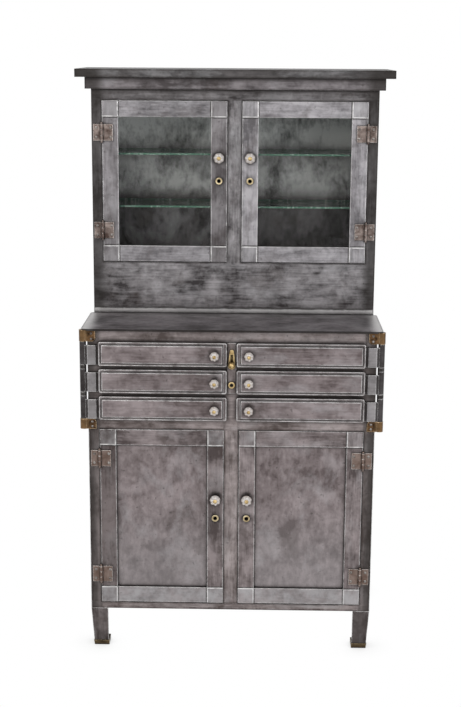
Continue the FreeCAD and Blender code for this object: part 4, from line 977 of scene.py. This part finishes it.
def fit_brackets(side, sign, materials):
    """Screw heads on one side's two corner brackets."""
    low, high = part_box("corner_brackets")
    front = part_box("base_face_frame")[0].y - BRACKET_LEAF
    heights = stepped(low.z, LOW_BRACKET_SCREWS) + stepped(high.z, HIGH_BRACKET_SCREWS)
    places = [(sign * BRACKET_SCREW_X, front, height) for height in heights]
    make_screws(side + "_bracket_screws", "cabinet", places, -1.0, materials, BRACKET_SCREW)


def fit_back(materials):
    """Screw heads round the back sheets of the base and of the showcase."""
    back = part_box("base_panels")[1].y
    columns = [(x, back, z) for x in (-BACK_SCREW_X, BACK_SCREW_X) for z in BACK_COLUMN_LEVELS]
    rows = [(step * BACK_SCREW_STEP, back, z) for z in BACK_ROW_LEVELS for step in BACK_ROW_STEPS]
    make_screws("back_screws", "cabinet", columns + rows, 1.0, materials, BACK_SCREW)


def fit_cabinet(brass, nickel, slot_dark, glass):
    """Knobs and screws on all bodies."""
    for side, sign in zip(SIDES, (-1.0, 1.0)):
        for level in LEVELS:
            door = f"{level}_{side}_door"
            make_knob(door + "_knob", door, (glass, brass))
            fit_hinges(door, sign, (nickel, slot_dark))
        for row in ROWS:
            tray = f"{side}_{row}_tray"
            make_knob(tray + "_knob", tray, (glass, brass))
        fit_brackets(side, sign, (nickel, slot_dark))
    fit_back((nickel, slot_dark))


# Finishes on the CAD nodes

STILE_STAINS = {"upper_left": (0.24, 0.38), "lower_left": (0.42, 0.06)}
DOOR_SHADES = {"upper_left": 0.84, "upper_right": 0.97, "lower_left": 0.86, "lower_right": 0.92}
DOOR_TONES = {"upper": PALE, "lower": WARM}
DOOR_SEED, DOOR_SEED_STEP, PANEL_SEED_STEP = 20.0, 1.37, 0.6


def dress(material, *names):
    """Give CAD nodes a finish."""
    for name in names:
        NODES[name].data.materials.clear()
        NODES[name].data.materials.append(material)


def dress_case():
    """Sheets, fronts, mouldings, ledge, legs, posts and shelves."""
    # The case's outer ends take painted shade
    ends = (outer_ends, SHADED_ENDS)
    # Painted shade below the cornice, and a painted highlight on the hem along the showcase's foot
    bands = (ends, (header_band, SOIL_AND_SHADE), (plinth_band, FOOT_HIGHLIGHT))
    # Paler ledge ends, and painted shade on the ledge's front edge
    ledge = ((ledge_ends, BRIGHT_ENDS), (ledge_front, SOIL_AND_SHADE))
    # Frames, cornice, crown and ledge take painted shade along their edges
    dress(steel("base_frame_steel", 0.4, UPRIGHT, toned(FRAME, 1.06), EDGE_SHADE, keen=0.06, halo=0.6,
                rails=base_rails, zones=(ends,)), "base_face_frame", "strike_bars")
    dress(steel("showcase_frame_steel", 5.1, UPRIGHT, STARK, EDGE_SHADE, keen=0.06, rails=apron_and_header,
                zones=bands), "upper_face_frame")
    dress(steel("cornice_steel", 3.3, ACROSS, BODY, EDGE_SHADE, zones=(ends,)), "cornice")
    dress(steel("crown_steel", 7.4, ACROSS, DIM, EDGE_SHADE, zones=(ends,)), "crown")
    dress(steel("panel_steel", 2.6, SHEET, CALM),
          "base_panels", "base_decks", "cupboard_shelf", "upper_decks", "shelf_clips")
    # The showcase's sheets are darkened to half the body's tone as painted shade, with painted light over
    # their inner faces
    dress(steel("showcase_panel_steel", 4.7, SHEET, toned(BODY, 0.50), inside_light=showcase_inside_light),
          "upper_panels")
    dress(steel("strip_steel", 4.4, UPRIGHT, FRAME), "lock_strip")
    dress(steel("leg_steel", 6.2, UPRIGHT, toned(FRAME, 0.52), rough=0.52, zones=((leg_side, SOIL_AND_SHADE),)),
          "legs")
    dress(steel("worktop_steel", 8.8, ACROSS, toned(BODY, 1.14), EDGE_SHADE, zones=ledge), "worktop")
    dress(steel("rod_steel", 1.9, UPRIGHT, OILED, wear_and_highlight=0.4, rough=0.40), "pivot_rods")
    dress(pane_glass("shelf_glass", *SHELF_GLASS, 4.9, "Z"), "glass_shelves")


def dress_fittings(brass, hinge, slot_dark):
    """Centre lock, corner brackets, frame leaves of the hinges, and shoes."""
    dress(brass, "lock_escutcheons", "latch_slide")
    dress(slot_dark, "lock_plug")
    dress(plated("dark_brass", DARK_BRASS, 2.9, edge=0.0034, size=62.0,
                 zones=((bracket_wraps, BRACKET_GOLD),)), "corner_brackets")
    dress(hinge, "hinge_frame_leaves")
    dress(plated("shoe_brass", SHOE_BRASS, 5.5, edge=0.0020, size=28.0), "leg_shoes")


def door_steel(door, seed):
    """Finish of one door's frame, with corner plates, painted highlights on their inner edges, seams,
    smudges with painted shade round the knob and lock, and stained stiles.
    """
    level = door.split("_")[0]
    node = door + "_door_"
    marks = DoorZones(node + "frame")
    # Finger smudges and painted shade round the knob and the lock
    touched_and_shaded = smudges(node + "knob", node + "lock")
    zones = [(marks.plates, PALER_TONE), (marks.glints, WORN_AND_HIGHLIT), (marks.seams, SOIL_AND_SHADE), (touched_and_shaded, SOIL_AND_SHADE)]
    if level == "lower":
        zones.insert(0, (marks.foot, PALER_TONE))
    if door in STILE_STAINS:
        zones.insert(1, (marks.soiled_stiles(*STILE_STAINS[door]), STAINED))
    tones = toned(DOOR_TONES[level], DOOR_SHADES[door])
    return steel(node + "steel", seed, UPRIGHT, tones, rails=marks.rails, zones=zones)


def dress_doors(hinge):
    panes = pane_glass("door_glass", *DOOR_GLASS, 1.3, "Y")
    lock_brass = plated("lock_brass", LOCK_BRASS, 1.7, corner_dirt_and_shade=0.009, hollow=lock_bores)
    seed = DOOR_SEED
    for side in SIDES:
        for level in LEVELS:
            seed += DOOR_SEED_STEP
            door = f"{level}_{side}"
            node = door + "_door_"
            dress(door_steel(door, seed), node + "frame")
            dress(hinge, node + "hinge_leaves")
            dress(lock_brass, node + "lock")
            if level == "upper":
                dress(panes, node + "glass")
            else:
                dress(steel(node + "panel_steel", seed + PANEL_SEED_STEP, SHEET, WARM_CALM,
                            zones=((panel_foot, PALER_TONE),)), node + "panel")


def dress_trays():
    # Pale arm plates, and painted shade on the straps beside the tray fronts
    bands = ((arm_plates, ARM_GREY), (strap_ends, SOIL_AND_SHADE))
    # Finger smudges and painted shade round the tray knobs
    touched_and_shaded = smudges(*(f"{side}_{row}_tray_knob" for side in SIDES for row in ROWS))
    boxes = steel("tray_steel", 9.9, ACROSS, BODY, zones=bands)
    fronts = steel("tray_front_steel", 12.4, ACROSS, WARM_CALM, wear_and_highlight=1.0, keen=0.05, rough=0.40, corner_dirt_and_shade=0.32,
                   halo=0.60, zones=((touched_and_shaded, SOIL_AND_SHADE),))
    for side in SIDES:
        for row in ROWS:
            dress(fronts, f"{side}_{row}_tray_front")
            dress(boxes, f"{side}_{row}_tray_box")


# The cabinet in its studio

aged_brass = plated("aged_brass", AGED_BRASS, 0.7, corner_dirt_and_shade=0.009)
worn_nickel = plated("worn_nickel", WORN_NICKEL, 3.4, corner_dirt_and_shade=0.010)
hinge_plate = plated("hinge_nickel", HINGE_NICKEL, 6.6, edge=0.0030, size=34.0,
                     zones=((low_hinges, HINGE_BROWN),))
dark_slot = plated("slot_shadow", SLOT_SHADOW, 8.1)
dress_case()
dress_fittings(aged_brass, hinge_plate, dark_slot)
dress_doors(hinge_plate)
dress_trays()
fit_cabinet(aged_brass, worn_nickel, dark_slot, knob_glass())
make_camera()
make_world()
make_floor()
make_light("key", place=(-2.2, -3.4, 3.0), target=(0.0, 0.0, 0.9), size=2.4, power=66.0,
           tint=(1.0, 0.985, 0.965))
make_light("fill", place=(2.6, -3.2, 1.7), target=(0.0, 0.0, 0.8), size=2.2, power=40.0,
           tint=(0.965, 0.98, 1.0))
bpy.context.scene.view_settings.view_transform = "Standard"
